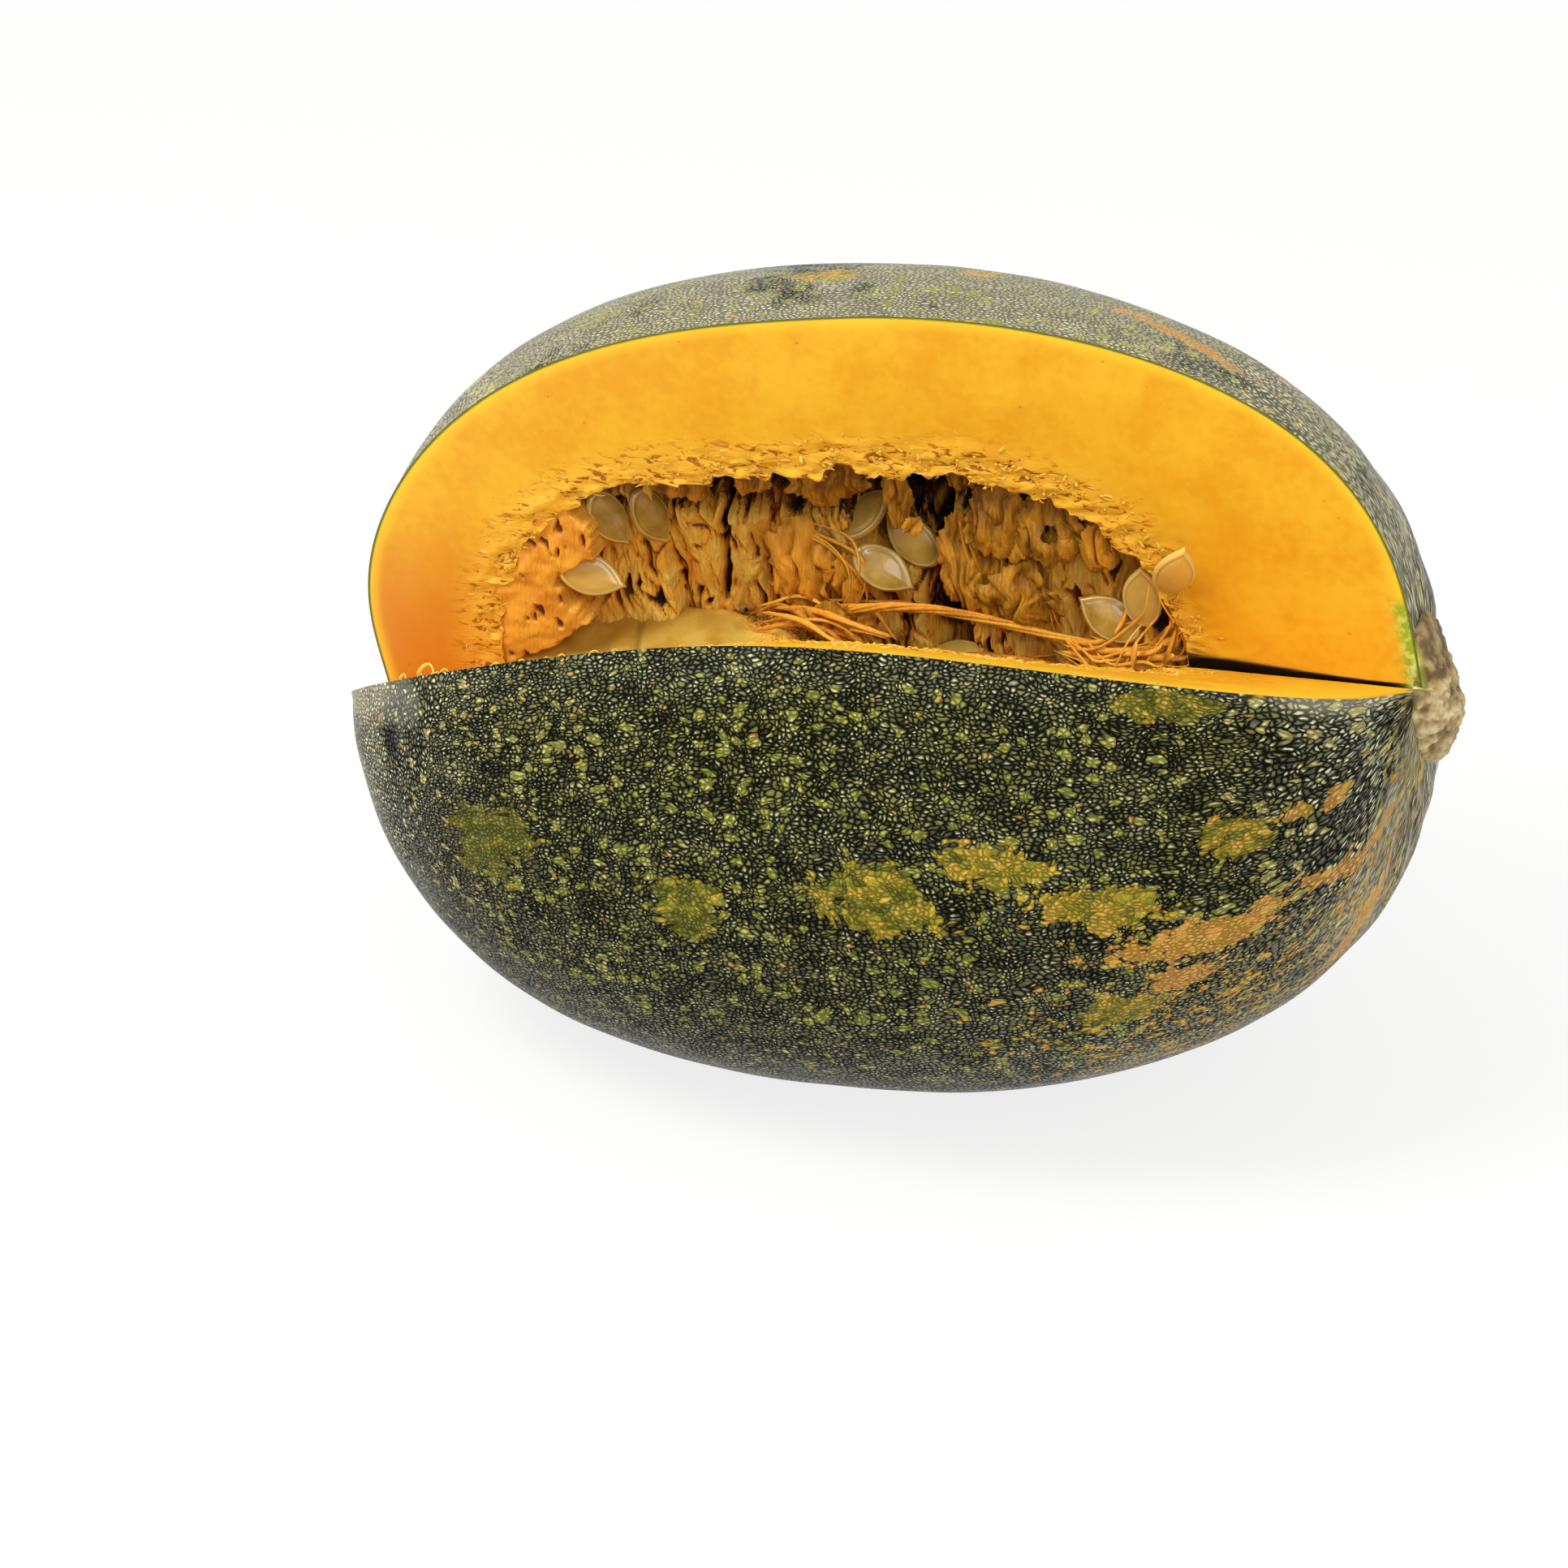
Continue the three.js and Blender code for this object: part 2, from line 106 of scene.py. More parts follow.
def grain(points: Array, size: float | Sequence[float], seed: int = 0) -> Array:
    """Soft random relief with one grain size.

    Space is divided into cells of the grain size. Each cell corner has a random slope, and
    a point's value blends the eight slopes round it with the quintic weight
    6t^5 - 15t^4 + 10t^3.

    Args:
        points: Points, with three numbers on the last axis.
        size: Grain size in the unit of the points, or one size for each axis.
        seed: Number that picks the pattern.

    Returns:
        Values from about -1 to 1, one for each point.
    """
    source = np.random.default_rng(seed)
    slopes = unit(source.normal(size=(256, 3)))
    shuffle = source.permutation(256)
    scaled = points / np.asarray(size)
    cell = np.floor(scaled).astype(np.int64)
    inside = scaled - cell
    weight = inside**3 * (inside * (inside * 6 - 15) + 10)
    total = np.zeros(points.shape[:-1])
    for corner in np.ndindex(2, 2, 2):
        at = (cell + corner) & 255
        pick = shuffle[(shuffle[(shuffle[at[..., 0]] + at[..., 1]) & 255] + at[..., 2]) & 255]
        rise = ((inside - corner) * slopes[pick]).sum(-1)
        share = np.where(np.array(corner) == 1, weight, 1 - weight).prod(-1)
        total += share * rise
    return 1.6 * total


def rough(points: Array, size: float | Sequence[float], seed: int, layers: int = 3) -> Array:
    """Relief on several scales: each layer is half the size and a little over half as high."""
    layer_sizes = [np.asarray(size) / 2**layer for layer in range(layers)]
    return sum(0.55**n * grain(points, scale, seed + n) for n, scale in enumerate(layer_sizes))


def linear(colour: str) -> tuple[float, ...]:
    """Linear red, green, blue and alpha from an sRGB hex value such as #f8b72b."""
    parts = (int(colour[i : i + 2], 16) / 255 for i in (1, 3, 5))
    return (*(c / 12.92 if c <= 0.04045 else ((c + 0.055) / 1.055) ** 2.4 for c in parts), 1)


# ==== The squash's form, with the same sizes and formulas as the CAD source ====


@dataclass(frozen=True)
class HalfForm:
    """One half of the rind or the hollow: its reach and the powers that shape it."""

    reach: float
    end_power: float
    side_power: float = 2
    dimple: float = 0
    dimple_radius: float = 25


@dataclass(frozen=True)
class SquashForm:
    """Rind, hollow, cut and resting place, in millimetres and degrees."""

    belly_radius: float = 98
    three_sided: float = 0.025
    stem_half: HalfForm = HalfForm(122.5, 1.87, 3.03, 1.2, 24.5)
    blossom_half: HalfForm = HalfForm(144.5, 2.74, 1.93, 11, 26)
    hollow_middle: Triple = (-12, 0, 0)
    hollow_radius: float = 58
    hollow_stem: HalfForm = HalfForm(80, 3.4)
    hollow_blossom: HalfForm = HalfForm(94, 4.4)
    edge_point: Triple = (1.9, -2.8, 12.8)
    lean: float = 11.4
    turn: float = 8.5
    stem_dip: float = 5.8
    blossom_dip: float = 7.3
    opening: float = 60.2
    opening_twist: float = 1.7
    opening_waist: float = 0.65
    pitch: float = 6.5
    centre: Triple = (3.85, 0.1, 94.5)

    @property
    def edge(self) -> Array:
        """The point of the cut's edge that places are measured from."""
        return np.asarray(self.edge_point)

    @property
    def cut_axes(self) -> Array:
        """Three rows: along the edge, up in the rear plane, and back from it.

        Returns:
            Three unit vectors.
        """
        turn, lean = math.radians(self.turn), math.radians(self.lean)
        along = np.array([math.cos(turn), math.sin(turn), 0])
        level_back = np.array([-math.sin(turn), math.cos(turn), 0])
        vertical = np.array([0, 0, 1])
        up = math.cos(lean) * vertical - math.sin(lean) * level_back
        back = math.sin(lean) * vertical + math.cos(lean) * level_back
        return np.stack([along, up, back])

    def at_cut(self, places: Array) -> Array:
        """Points from distances along the edge, up the rear plane and behind it."""
        return self.edge + np.asarray(places, float) @ self.cut_axes

    def to_cut(self, points: Array) -> Array:
        """Distances along the edge, up the rear plane and behind it, from points."""
        return (np.asarray(points) - self.edge) @ self.cut_axes.T

    def rind_level(self, points: Array) -> Array:
        """Negative inside the rind: (|x|, sunk by the dimple, over the reach) to the end
        power, plus (radius over the belly radius) to the side power, minus one.

        Args:
            points: The points.

        Returns:
            One level for each point.
        """
        x, y, z = points[..., 0], points[..., 1], points[..., 2]
        radius = np.hypot(y, z) / (1 - self.three_sided * np.sin(3 * np.arctan2(z, y)))
        levels = []
        for half in (self.stem_half, self.blossom_half):
            sunk = half.dimple * np.exp(-((radius / half.dimple_radius) ** 2))
            along = (np.abs(x) + sunk) / half.reach
            across = radius / self.belly_radius
            levels.append(along**half.end_power + across**half.side_power - 1)
        return np.where(x > 0, levels[0], levels[1])

    def hollow_level(self, points: Array) -> Array:
        """Negative inside the hollow: round in section, with two blunt ends.

        Args:
            points: The points.

        Returns:
            One level for each point.
        """
        x = points[..., 0] - self.hollow_middle[0]
        across = np.hypot(points[..., 1], points[..., 2]) / self.hollow_radius
        halves = [(np.abs(x) / h.reach) ** h.end_power for h in (self.hollow_stem, self.hollow_blossom)]
        return np.where(x > 0, halves[0], halves[1]) + across**2 - 1

    def reach(self, level: Level, start: Array, rays: Array) -> Array:
        """Distance along each ray to where a level turns positive, by halving the span.

        Args:
            level: Function that gives the levels of points.
            start: Where the rays start.
            rays: Unit rays.

        Returns:
            Distances in mm.
        """
        inside = np.zeros(rays.shape[:-1])
        outside = np.full(rays.shape[:-1], 200)
        for _ in range(30):
            middle = (inside + outside) / 2
            within = level(start + middle[..., None] * rays) < 0
            inside = np.where(within, middle, inside)
            outside = np.where(within, outside, middle)
        return inside

    def from_edge(self, level: Level, rays: Array) -> Array:
        """Distance along rays from the edge point to where a level turns positive."""
        return self.reach(level, self.edge, rays)

    def cut_ray(self, theta: Array, phi: Array) -> Array:
        """Unit ray from the edge point.

        theta runs from the stem end (0) to the blossom end (pi). phi turns about the edge
        from the rear plane (0) over the removed slice to the front plane, and on round the
        underside to the rear plane again (2 pi).

        Args:
            theta: Angles along the edge.
            phi: Angles round it.

        Returns:
            Unit rays.
        """
        cosine, sine = np.cos(theta), np.sin(theta)
        dip = np.radians(np.where(cosine > 0, self.stem_dip, self.blossom_dip)) * cosine**2
        parts = stacked(cosine, sine * np.cos(phi) - dip, -sine * np.sin(phi))
        return unit(parts @ self.cut_axes)

    def front_angle(self, theta: Array) -> Array:
        """Angle of the front plane at one place along the length, in radians."""
        twist = self.opening_twist * np.cos(theta) + self.opening_waist * np.cos(2 * theta)
        return np.radians(self.opening + twist)

    def cut_angles(self, points: Array) -> tuple[Array, Array]:
        """theta and phi of points: the inverse of cut_ray, to within a tenth of a degree.

        Args:
            points: The points.

        Returns:
            theta and phi.
        """
        along, up, back = np.moveaxis(unit(self.to_cut(points)), -1, 0)
        dip = np.radians(np.where(along > 0, self.stem_dip, self.blossom_dip)) * along**2
        across = np.hypot(up + dip, back)
        return np.arctan2(across, along), np.arctan2(-back, up + dip) % TURN

    def ground_reach(self, rays: Array) -> Array:
        """Distance from the edge point along each ray to the surface it rests on.

        Args:
            rays: Unit rays.

        Returns:
            Distances, huge for rays that rise.
        """
        pitch = math.radians(self.pitch)
        up = np.array([math.sin(pitch), 0, math.cos(pitch)])
        fall = rays @ up
        height = self.centre[2] + np.asarray(self.edge_point) @ up
        return np.where(fall < 0, height / np.maximum(-fall, 1e-9), 1e6)

    def depth_under(self, level: Level, points: Array) -> Array:
        """Depth in mm under a level surface: minus the level over its slope across 1 mm."""
        slope = [level(points + axis) - level(points - axis) for axis in 0.5 * np.eye(3)]
        return -level(points) / np.maximum(np.linalg.norm(np.stack(slope), axis=0), 1e-6)

    def lay_down(self, points: Array) -> Array:
        """Points in the CAD's frame, in metres: pitched about y and moved to the centre.

        Args:
            points: Points in the squash's own frame, in mm.

        Returns:
            Points in metres.
        """
        pitch = math.radians(self.pitch)
        x, y, z = points[..., 0], points[..., 1], points[..., 2]
        laid = [x * math.cos(pitch) - z * math.sin(pitch), y, x * math.sin(pitch) + z * math.cos(pitch)]
        return (np.stack(laid, axis=-1) + np.asarray(self.centre)) * MILLIMETRE


FORM = SquashForm()


# ==== Shells: meshes in the making ====


def new_object(name: str, data: bpy.types.ID) -> bpy.types.Object:
    """New object in the scene.

    Args:
        name: Name of the object.
        data: Its mesh, light or camera.

    Returns:
        The object.
    """
    obj = bpy.data.objects.new(name, data)
    bpy.context.scene.collection.objects.link(obj)
    return obj


@dataclass
class Shell:
    """Points in the squash's own frame, and four-cornered faces between them.

    Faces whose corners fall together become triangles when the shell is finished, so a pole
    is a row of equal points. Values are numbers for each point, which materials read.
    """

    points: Array
    faces: Array
    values: dict[str, Array] = field(default_factory=dict)
    flow: Array | None = None
    slots: Array | None = None

    def faced(self, laid: Array, loops: Array, sizes: Array) -> Array:
        """Corner numbers in the order that makes the faces point outwards.

        The shell's volume, six times the sum over the faces of a x b . c + a x c . d, is
        negative where they point inwards, and each face's corners are then reversed.

        Args:
            laid: The shell's points in the CAD's frame.
            loops: Corner numbers, face after face.
            sizes: Number of corners of each face.

        Returns:
            The corner numbers.
        """
        a, b, c, d = (laid[self.faces[:, i]] for i in range(4))
        if (np.cross(a, b) * c).sum() + (np.cross(a, c) * d).sum() >= 0:
            return loops
        starts = np.cumsum(sizes) - sizes
        offset = np.arange(len(loops)) - np.repeat(starts, sizes)
        return loops[np.repeat(starts + sizes, sizes) - 1 - offset]

    def piece(self, name: str, materials: Sequence[Material], sharp: float = 0) -> bpy.types.Object:
        """Makes the mesh object, welded and facing outwards, with its place in its mesh.

        Args:
            name: Name of the object.
            materials: Materials in slot order.
            sharp: Angle in degrees past which an edge shades sharp, or 0 for none.

        Returns:
            The object, linked to the scene.
        """
        keys = np.round(self.points / WELD_MM).astype(np.int64)
        _, first, number = np.unique(keys, axis=0, return_index=True, return_inverse=True)
        number = number.reshape(-1)
        corners = number[self.faces]
        same = corners == np.roll(corners, -1, axis=1)
        whole = ~same.any(axis=1)
        bent = same.sum(axis=1) == 1
        kept = np.argsort(same[bent], axis=1, kind="stable")[:, :3]
        kept.sort(axis=1)
        triangles = np.take_along_axis(self.faces[bent], kept, axis=1)
        loops = np.concatenate([self.faces[whole].ravel(), triangles.ravel()])
        sizes = np.concatenate([np.full(whole.sum(), 4), np.full(len(triangles), 3)])
        laid = FORM.lay_down(self.points)
        loops = self.faced(laid, loops, sizes)
        mesh = bpy.data.meshes.new(name)
        mesh.vertices.add(len(first))
        mesh.loops.add(len(loops))
        mesh.polygons.add(len(sizes))
        mesh.vertices.foreach_set("co", laid[first].astype(np.float32).ravel())
        mesh.loops.foreach_set("vertex_index", number[loops].astype(np.int32))
        mesh.polygons.foreach_set("loop_start", (np.cumsum(sizes) - sizes).astype(np.int32))
        mesh.polygons.foreach_set("use_smooth", np.ones(len(sizes), bool))
        if self.slots is not None:
            slots = np.concatenate([self.slots[whole], self.slots[bent]])
            mesh.polygons.foreach_set("material_index", slots.astype(np.int32))
        for key, value in self.values.items():
            layer = mesh.attributes.new(key, "FLOAT", "POINT")
            layer.data.foreach_set("value", value.ravel()[first].astype(np.float32))
        if self.flow is not None:
            layer = mesh.uv_layers.new(name="flow")
            layer.uv.foreach_set("vector", self.flow[loops].astype(np.float32).ravel())
        mesh.update(calc_edges=True)
        mesh.validate()
        for material in materials:
            mesh.materials.append(material)
        if sharp:
            mesh.set_sharp_from_angle(angle=math.radians(sharp))
        log.info("%s: %d points, %d faces", name, len(mesh.vertices), len(mesh.polygons))
        return new_object(name, mesh)


def grid_faces(rows: int, columns: int, closed: bool = False) -> Array:
    """Corner numbers of the faces between neighbours in a grid of points.

    Args:
        rows: Number of rows of points.
        columns: Number of points in a row.
        closed: Whether the last column joins the first.

    Returns:
        One row of four corner numbers for each face.
    """
    i = np.arange(rows - 1)[:, None]
    j = np.arange(columns if closed else columns - 1)[None, :]
    right = (j + 1) % columns
    corners = [i * columns + j, (i + 1) * columns + j, (i + 1) * columns + right, i * columns + right]
    return np.stack(np.broadcast_arrays(*corners), axis=-1).reshape(-1, 4)


def closed_sheet(front: Array, back: Array, **values: Array) -> Shell:
    """Closed solid between two grids of points that share their border.

    Args:
        front: Points of the side that is seen, rows by columns by three.
        back: Points of the other side; its border is ignored.
        **values: Numbers for each point of the grid, used on both sides.

    Returns:
        The solid as a shell.
    """
    rows, columns = front.shape[:2]
    back = back.copy()
    back[[0, -1]] = front[[0, -1]]
    back[:, [0, -1]] = front[:, [0, -1]]
    faces = grid_faces(rows, columns)
    points = np.concatenate([front.reshape(-1, 3), back.reshape(-1, 3)])
    doubled = {name: np.concatenate([v.ravel(), v.ravel()]) for name, v in values.items()}
    return Shell(points, np.concatenate([faces, faces[:, ::-1] + rows * columns]), doubled)


def strands(paths: Array, radii: Array, sides: int, flat: float, twist: float, **values: Array) -> Shell:
    """Round or flat fibres along many paths at once, closed to a point at both ends.

    Each section is an oval across the path: its long half is the radius, its short half is
    flat times the radius, and it turns by twist radians from start to end.

    Args:
        paths: Points, strands by steps by three.
        radii: Radius at each step of each strand; the first and last are taken as zero.
        sides: Corners of the section.
        flat: Thickness over width.
        twist: Turn of the section along the strand, in radians.
        **values: One number for each strand.

    Returns:
        All strands in one shell.
    """
    count, steps = paths.shape[:2]
    tangent = unit(np.gradient(paths, axis=1))
    reference = FORM.cut_axes[2] + 0.13 * FORM.cut_axes[1]
    side = unit(np.cross(tangent, reference))
    normal = np.cross(side, tangent)
    radii = np.array(np.broadcast_to(radii, (count, steps)), float)
    radii[:, [0, -1]] = 0
    turn = np.linspace(0, twist, steps)[None, :, None] + np.zeros((count, 1, 1))
    angle = TURN * np.arange(sides)[None, None, :] / sides
    wide = np.cos(angle) * np.cos(turn) - flat * np.sin(angle) * np.sin(turn)
    thick = np.cos(angle) * np.sin(turn) + flat * np.sin(angle) * np.cos(turn)
    rings = side[:, :, None] * wide[..., None] + normal[:, :, None] * thick[..., None]
    points = paths[:, :, None] + radii[:, :, None, None] * rings
    one = grid_faces(steps, sides, closed=True)
    faces = (one[None] + (np.arange(count) * steps * sides)[:, None, None]).reshape(-1, 4)
    spread = {name: np.repeat(v, steps * sides) for name, v in values.items()}
    along = np.broadcast_to(np.linspace(0, 1, steps)[None, :, None], (count, steps, sides))
    spread["along"] = along.ravel()
    return Shell(points.reshape(-1, 3), faces, spread)


def wandering(start: Array, end: Array, steps: int, sway: float, source: np.random.Generator) -> Array:
    """Paths from starts to ends that sway on the way.

    Three sine waves of falling height, with random phases and directions, are added to the
    straight line, and fade out at the start.

    Args:
        start: First points, strands by three.
        end: Last points, strands by three.
        steps: Points along each path.
        sway: Height of the largest wave as a share of the length.
        source: Random numbers.

    Returns:
        Paths, strands by steps by three.
    """
    share = np.linspace(0, 1, steps)[None, :, None]
    paths = mix(start[:, None], end[:, None], share)
    length = np.linalg.norm(end - start, axis=-1)[:, None, None]
    for wave in (1, 2, 3):
        phase = source.uniform(0, TURN, (len(start), 1, 1))
        direction = unit(source.normal(size=(len(start), 1, 3)))
        bend = np.sin(math.pi * wave * share + phase) - np.sin(phase)
        paths = paths + sway / wave**1.3 * length * direction * bend * np.sqrt(share)
    return paths


# ==== Materials ====


class Op(Enum):
    """What a node does.

    Each holds Blender's type without ShaderNode, the inputs that its terms fill in turn, the output that is
    read (None for all of them) and the settings that never change.
    """

    PLUS = ("Math", (0, 1), 0, {"operation": "ADD"})
    LESS = ("Math", (0, 1), 0, {"operation": "SUBTRACT"})
    TIMES = ("Math", (0, 1), 0, {"operation": "MULTIPLY"})
    TIMES_PLUS = ("Math", (0, 1, 2), 0, {"operation": "MULTIPLY_ADD"})
    BELOW = ("Math", (0, 1), 0, {"operation": "LESS_THAN"})
    LARGER = ("Math", (0, 1), 0, {"operation": "MAXIMUM"})
    STRETCH = ("VectorMath", (0, 1), 0, {"operation": "MULTIPLY"})
    STRETCH_PLUS = ("VectorMath", (0, 1, 2), 0, {"operation": "MULTIPLY_ADD"})
    RAMP = ("MapRange", (0, 1, 2, 3, 4), 0, {"interpolation_type": "SMOOTHSTEP"})
    BLEND = ("Mix", (0, 6, 7), 2, {"data_type": "RGBA"})
    BETWEEN = ("Mix", (0, 2, 3), 0, {"data_type": "FLOAT"})
    TONES = ("ValToRGB", (0,), 0, {})
    VALUE = ("Attribute", (), "Fac", {})
    FLOW = ("UVMap", (), 0, {"uv_map": "flow"})
    PLACE = ("TexCoord", (), "Object", {})
    DIRECTION = ("TexCoord", (), "Generated", {})
    SCALE = ("Mapping", ("Vector", "Scale", "Rotation"), 0, {})
    NOISE = ("TexNoise", ("Vector", "Scale", "Detail", "Distortion"), 0, {})
    SWAY = ("TexNoise", ("Vector", "Scale", "Detail"), 1, {})
    CELLS = ("TexVoronoi", ("Vector", "Scale"), None, {})
    FLAT_CELLS = (CELLS[0], ("Vector", "Scale", "Randomness"), None, {"voronoi_dimensions": "2D"})
    AXES = ("SeparateXYZ", (0,), None, {})
    PACKED = ("CombineXYZ", (0, 1), 0, {})
    CHANNELS = ("SeparateColor", (0,), None, {})
    RELIEF = ("Bump", ("Strength", "Distance", "Height"), 0, {})
    LIGHT_PATH = ("LightPath", (), None, {})
    SHADER = ("BsdfPrincipled", (), 0, {})
    MATT = ("BsdfDiffuse", ("Color",), 0, {})
    GLOW = ("Emission", ("Color", "Strength"), 0, {})
    BOTH = ("MixShader", (0, 1, 2), 0, {})
    SKY = ("Background", ("Color", "Strength"), 0, {})
    SURFACE = ("OutputMaterial", ("Surface",), None, {})
    SURROUNDINGS = ("OutputWorld", ("Surface",), None, {})


def add_node(
    tree: bpy.types.NodeTree,
    op: Op,
    *terms: object,
    inputs: dict[str, object] | None = None,
    ramp: Sequence[tuple[float, str]] = (),
    **settings: object,
) -> "bpy.types.NodeSocket | bpy.types.NodeOutputs":
    """Adds one node to a tree, with its settings and links.

    Args:
        tree: The node tree.
        op: What the node does.
        *terms: Values, hex colours or sockets for the operation's own inputs, in order.
        inputs: The same for other inputs, by name.
        ramp: Stops of a colour ramp, as place and hex colour.
        **settings: More properties of the node.

    Returns:
        The output that the operation reads, or all of the node's outputs.
    """
    kind, names, read, fixed = op.value
    node = tree.nodes.new(f"ShaderNode{kind}")
    for name, value in {**fixed, **settings}.items():
        setattr(node, name, value)
    stops = node.color_ramp.elements if ramp else ()
    while len(stops) < len(ramp):
        stops.new(0.5)
    for stop, (place, colour) in zip(stops, ramp):
        stop.position, stop.color = place, linear(colour)
    for name, value in {**dict(zip(names, terms)), **(inputs or {})}.items():
        if isinstance(value, bpy.types.NodeSocket):
            tree.links.new(value, node.inputs[name])
        else:
            node.inputs[name].default_value = linear(value) if isinstance(value, str) else value
    return node.outputs if read is None else node.outputs[read]


def new_material(name: str) -> tuple[Material, Callable]:
    """Starts a material with an empty node tree.

    Args:
        name: Name of the material.

    Returns:
        The material, and add_node for its tree.
    """
    material = bpy.data.materials.new(name)
    material.use_nodes = True
    material.node_tree.nodes.clear()
    return material, partial(add_node, material.node_tree)


def close_material(
    add: Callable, strength: float, depth_mm: float, height: object, inputs: dict[str, object]
) -> None:
    """Ends a material with a relief of some strength and depth, its shader and its output."""
    relief = add(Op.RELIEF, strength, depth_mm * MILLIMETRE, height)
    add(Op.SURFACE, add(Op.SHADER, inputs={**inputs, "Normal": relief}))


@dataclass(frozen=True)
class WaxyRind:
    """Grown calabaza rind: a waxy skin over fine dark pebbles.

    What gives it its look: round pebbles 1 to 1.5 mm wide with near-black furrows between
    them and a painted highlight on the top of many, yellow-green spots of a few pebbles in
    loose clusters, and ripe blotches of moss, ochre and orange that the dark pebbles break up.
    Waxy bloom with painted sheen greys the cut's rim, both ends and the crown, where it is
    painted paler still as light from above.
    """

    furrow: str = "#0c0c05"
    pebble_dark: str = "#191a09"
    pebble_light: str = "#6f6d30"
    # colour of the painted highlight on the pebble tops
    pebble_glint: str = "#d6d2a8"
    spot: str = "#7f8b2d"
    spot_pale: str = "#a6a245"
    spot_drawn: str = "#cfc373"
    # waxy bloom with painted sheen, and the crown's paler colour of painted light and reflection on the
    # upward-facing top
    bloom: str = "#86876f"
    crown: str = "#cbc2a0"
    # darker brown on the blossom end and the underside
    earth: str = "#42340f"
    # grey smooth skin, by the stem partly painted sheen
    smooth: str = "#6b6b62"
    scar: str = "#0d0a07"
    ripeness: tuple[tuple[float, str], ...] = (
        (0, "#575812"), (0.3, "#8c8221"), (0.6, "#cba231"), (1, "#d89a48")
    )
    pebble_mm: float = 1.08
    pebble_disorder: float = 0.88
    spot_mm: float = 3.7
    narrowing: tuple[Pair, ...] = ((0.68, 0.5), (0.34, 0.25), (0.16, 0.125))
    relief_mm: float = 0.35

    def material(self) -> Material:
        """The rind as a node material, on the piece's flow map and its own values.

        Returns:
            The material.
        """
        material, add = new_material("waxy_calabaza_rind")
        value = {name: add(Op.VALUE, attribute_name=name) for name in ("spread", *RindPattern.NAMES)}
        in_mm = add(Op.SCALE, add(Op.FLOW), IN_MM)
        sway = add(Op.SWAY, in_mm, 0.16, 3)
        moved = add(Op.STRETCH_PLUS, sway, (5, 4, 0), in_mm)
        # Towards both ends the rows of pebbles get fewer, so that each keeps its width.
        spread = add(Op.TIMES_PLUS, add(Op.LESS, sway, 0.5), 0.12, value["spread"])
        narrow = 1
        for nearer_than, drop in self.narrowing:
            narrow = add(Op.TIMES_PLUS, add(Op.BELOW, spread, nearer_than), -drop, narrow)
        along, around, _ = add(Op.AXES, moved)
        cells = add(Op.PACKED, along, add(Op.TIMES, around, narrow))

        # Pebbles: how far a point is inside its pebble, the spot of painted highlight on its top, and two
        # random numbers.
        pebbles = (cells, 1 / self.pebble_mm, self.pebble_disorder)
        edge = add(Op.FLAT_CELLS, *pebbles, feature="DISTANCE_TO_EDGE")[0]
        pebble = add(Op.FLAT_CELLS, *pebbles)
        chance, other, _ = add(Op.CHANNELS, pebble["Color"])
        middle = pebble["Position"]
        shades = add(Op.NOISE, in_mm, 0.14, 3)
        wide = add(Op.TIMES_PLUS, shades, -0.3, 0.42)
        body = add(Op.RAMP, add(Op.LESS, edge, wide), -0.2, 0.03)
        body = add(Op.TIMES, body, add(Op.RAMP, pebble[0], 0.78, 0.36))
        near_stem = add(Op.RAMP, spread, 0.8, 0.35)
        # the spot of painted highlight in the middle of each pebble, wider near the stem
        glint_spot = add(Op.RAMP, add(Op.TIMES_PLUS, near_stem, -0.16, pebble[0]), 0.32, 0.08)

        # Spots take in whole pebbles, more of them in some clusters.
        spotting = add(Op.STRETCH, cells, (0.55, 0.55, 0.55))
        spotting = add(Op.STRETCH_PLUS, middle, (0.45, 0.45, 0.45), spotting)
        spots = add(Op.FLAT_CELLS, spotting, 1 / self.spot_mm)
        reach = add(Op.TIMES, add(Op.CHANNELS, spots["Color"])[0], value["spotty"])
        cluster = add(Op.NOISE, in_mm, 0.05, 2)
        reach = add(Op.TIMES, reach, add(Op.RAMP, cluster, 0.36, 0.6, 0.26, 0.52))
        spotted = add(Op.RAMP, add(Op.LESS, reach, spots["Distance"]), -0.03, 0.06)

        # Skin, from the plain pebbles up: darker brown low down, wax bloom with painted sheen, smooth skin
        # (by the stem partly painted sheen), then the spots.
        bloom, smooth, scar = value["bloom"], value["smooth"], value["scar"]
        light = add(Op.TIMES_PLUS, chance, 1.2, -0.16)
        light = add(Op.TIMES_PLUS, add(Op.LESS, shades, 0.5), 1.6, light)
        skin = add(Op.BLEND, light, self.pebble_dark, self.pebble_light)
        skin = add(Op.BLEND, value["earth"], skin, self.earth)
        wax_and_sheen = add(Op.BLEND, add(Op.RAMP, bloom, 0.6, 1), self.bloom, self.crown)
        spot = add(Op.BLEND, other, self.spot, self.spot_pale)
        spot = add(Op.BLEND, add(Op.RAMP, spread, 0.97, 0.6), spot, self.spot_drawn)
        for share, part, colour in ((bloom, 0.75, wax_and_sheen), (smooth, 0.75, self.smooth), (spotted, 0.9, spot)):
            skin = add(Op.BLEND, add(Op.TIMES, share, part), skin, colour)

        # Ripe blotches, whose edges and tones change from pebble to pebble.
        mottle = add(Op.LESS, add(Op.NOISE, middle, 0.3, 3), 0.5)
        wander = add(Op.TIMES_PLUS, mottle, 1.5, value["ripe"])
        wander = add(Op.TIMES_PLUS, add(Op.LESS, chance, 0.5), 0.62, wander)
        ripe = add(Op.RAMP, wander, 0.42, 0.56)
        tone = add(Op.TIMES_PLUS, mottle, 1.6, value["ripe_tone"])
        tone = add(Op.TIMES_PLUS, add(Op.LESS, other, 0.5), 0.35, tone)
        ripened = add(Op.TONES, tone, ramp=self.ripeness)
        skin = add(Op.BLEND, add(Op.TIMES, ripe, 0.92), skin, ripened)
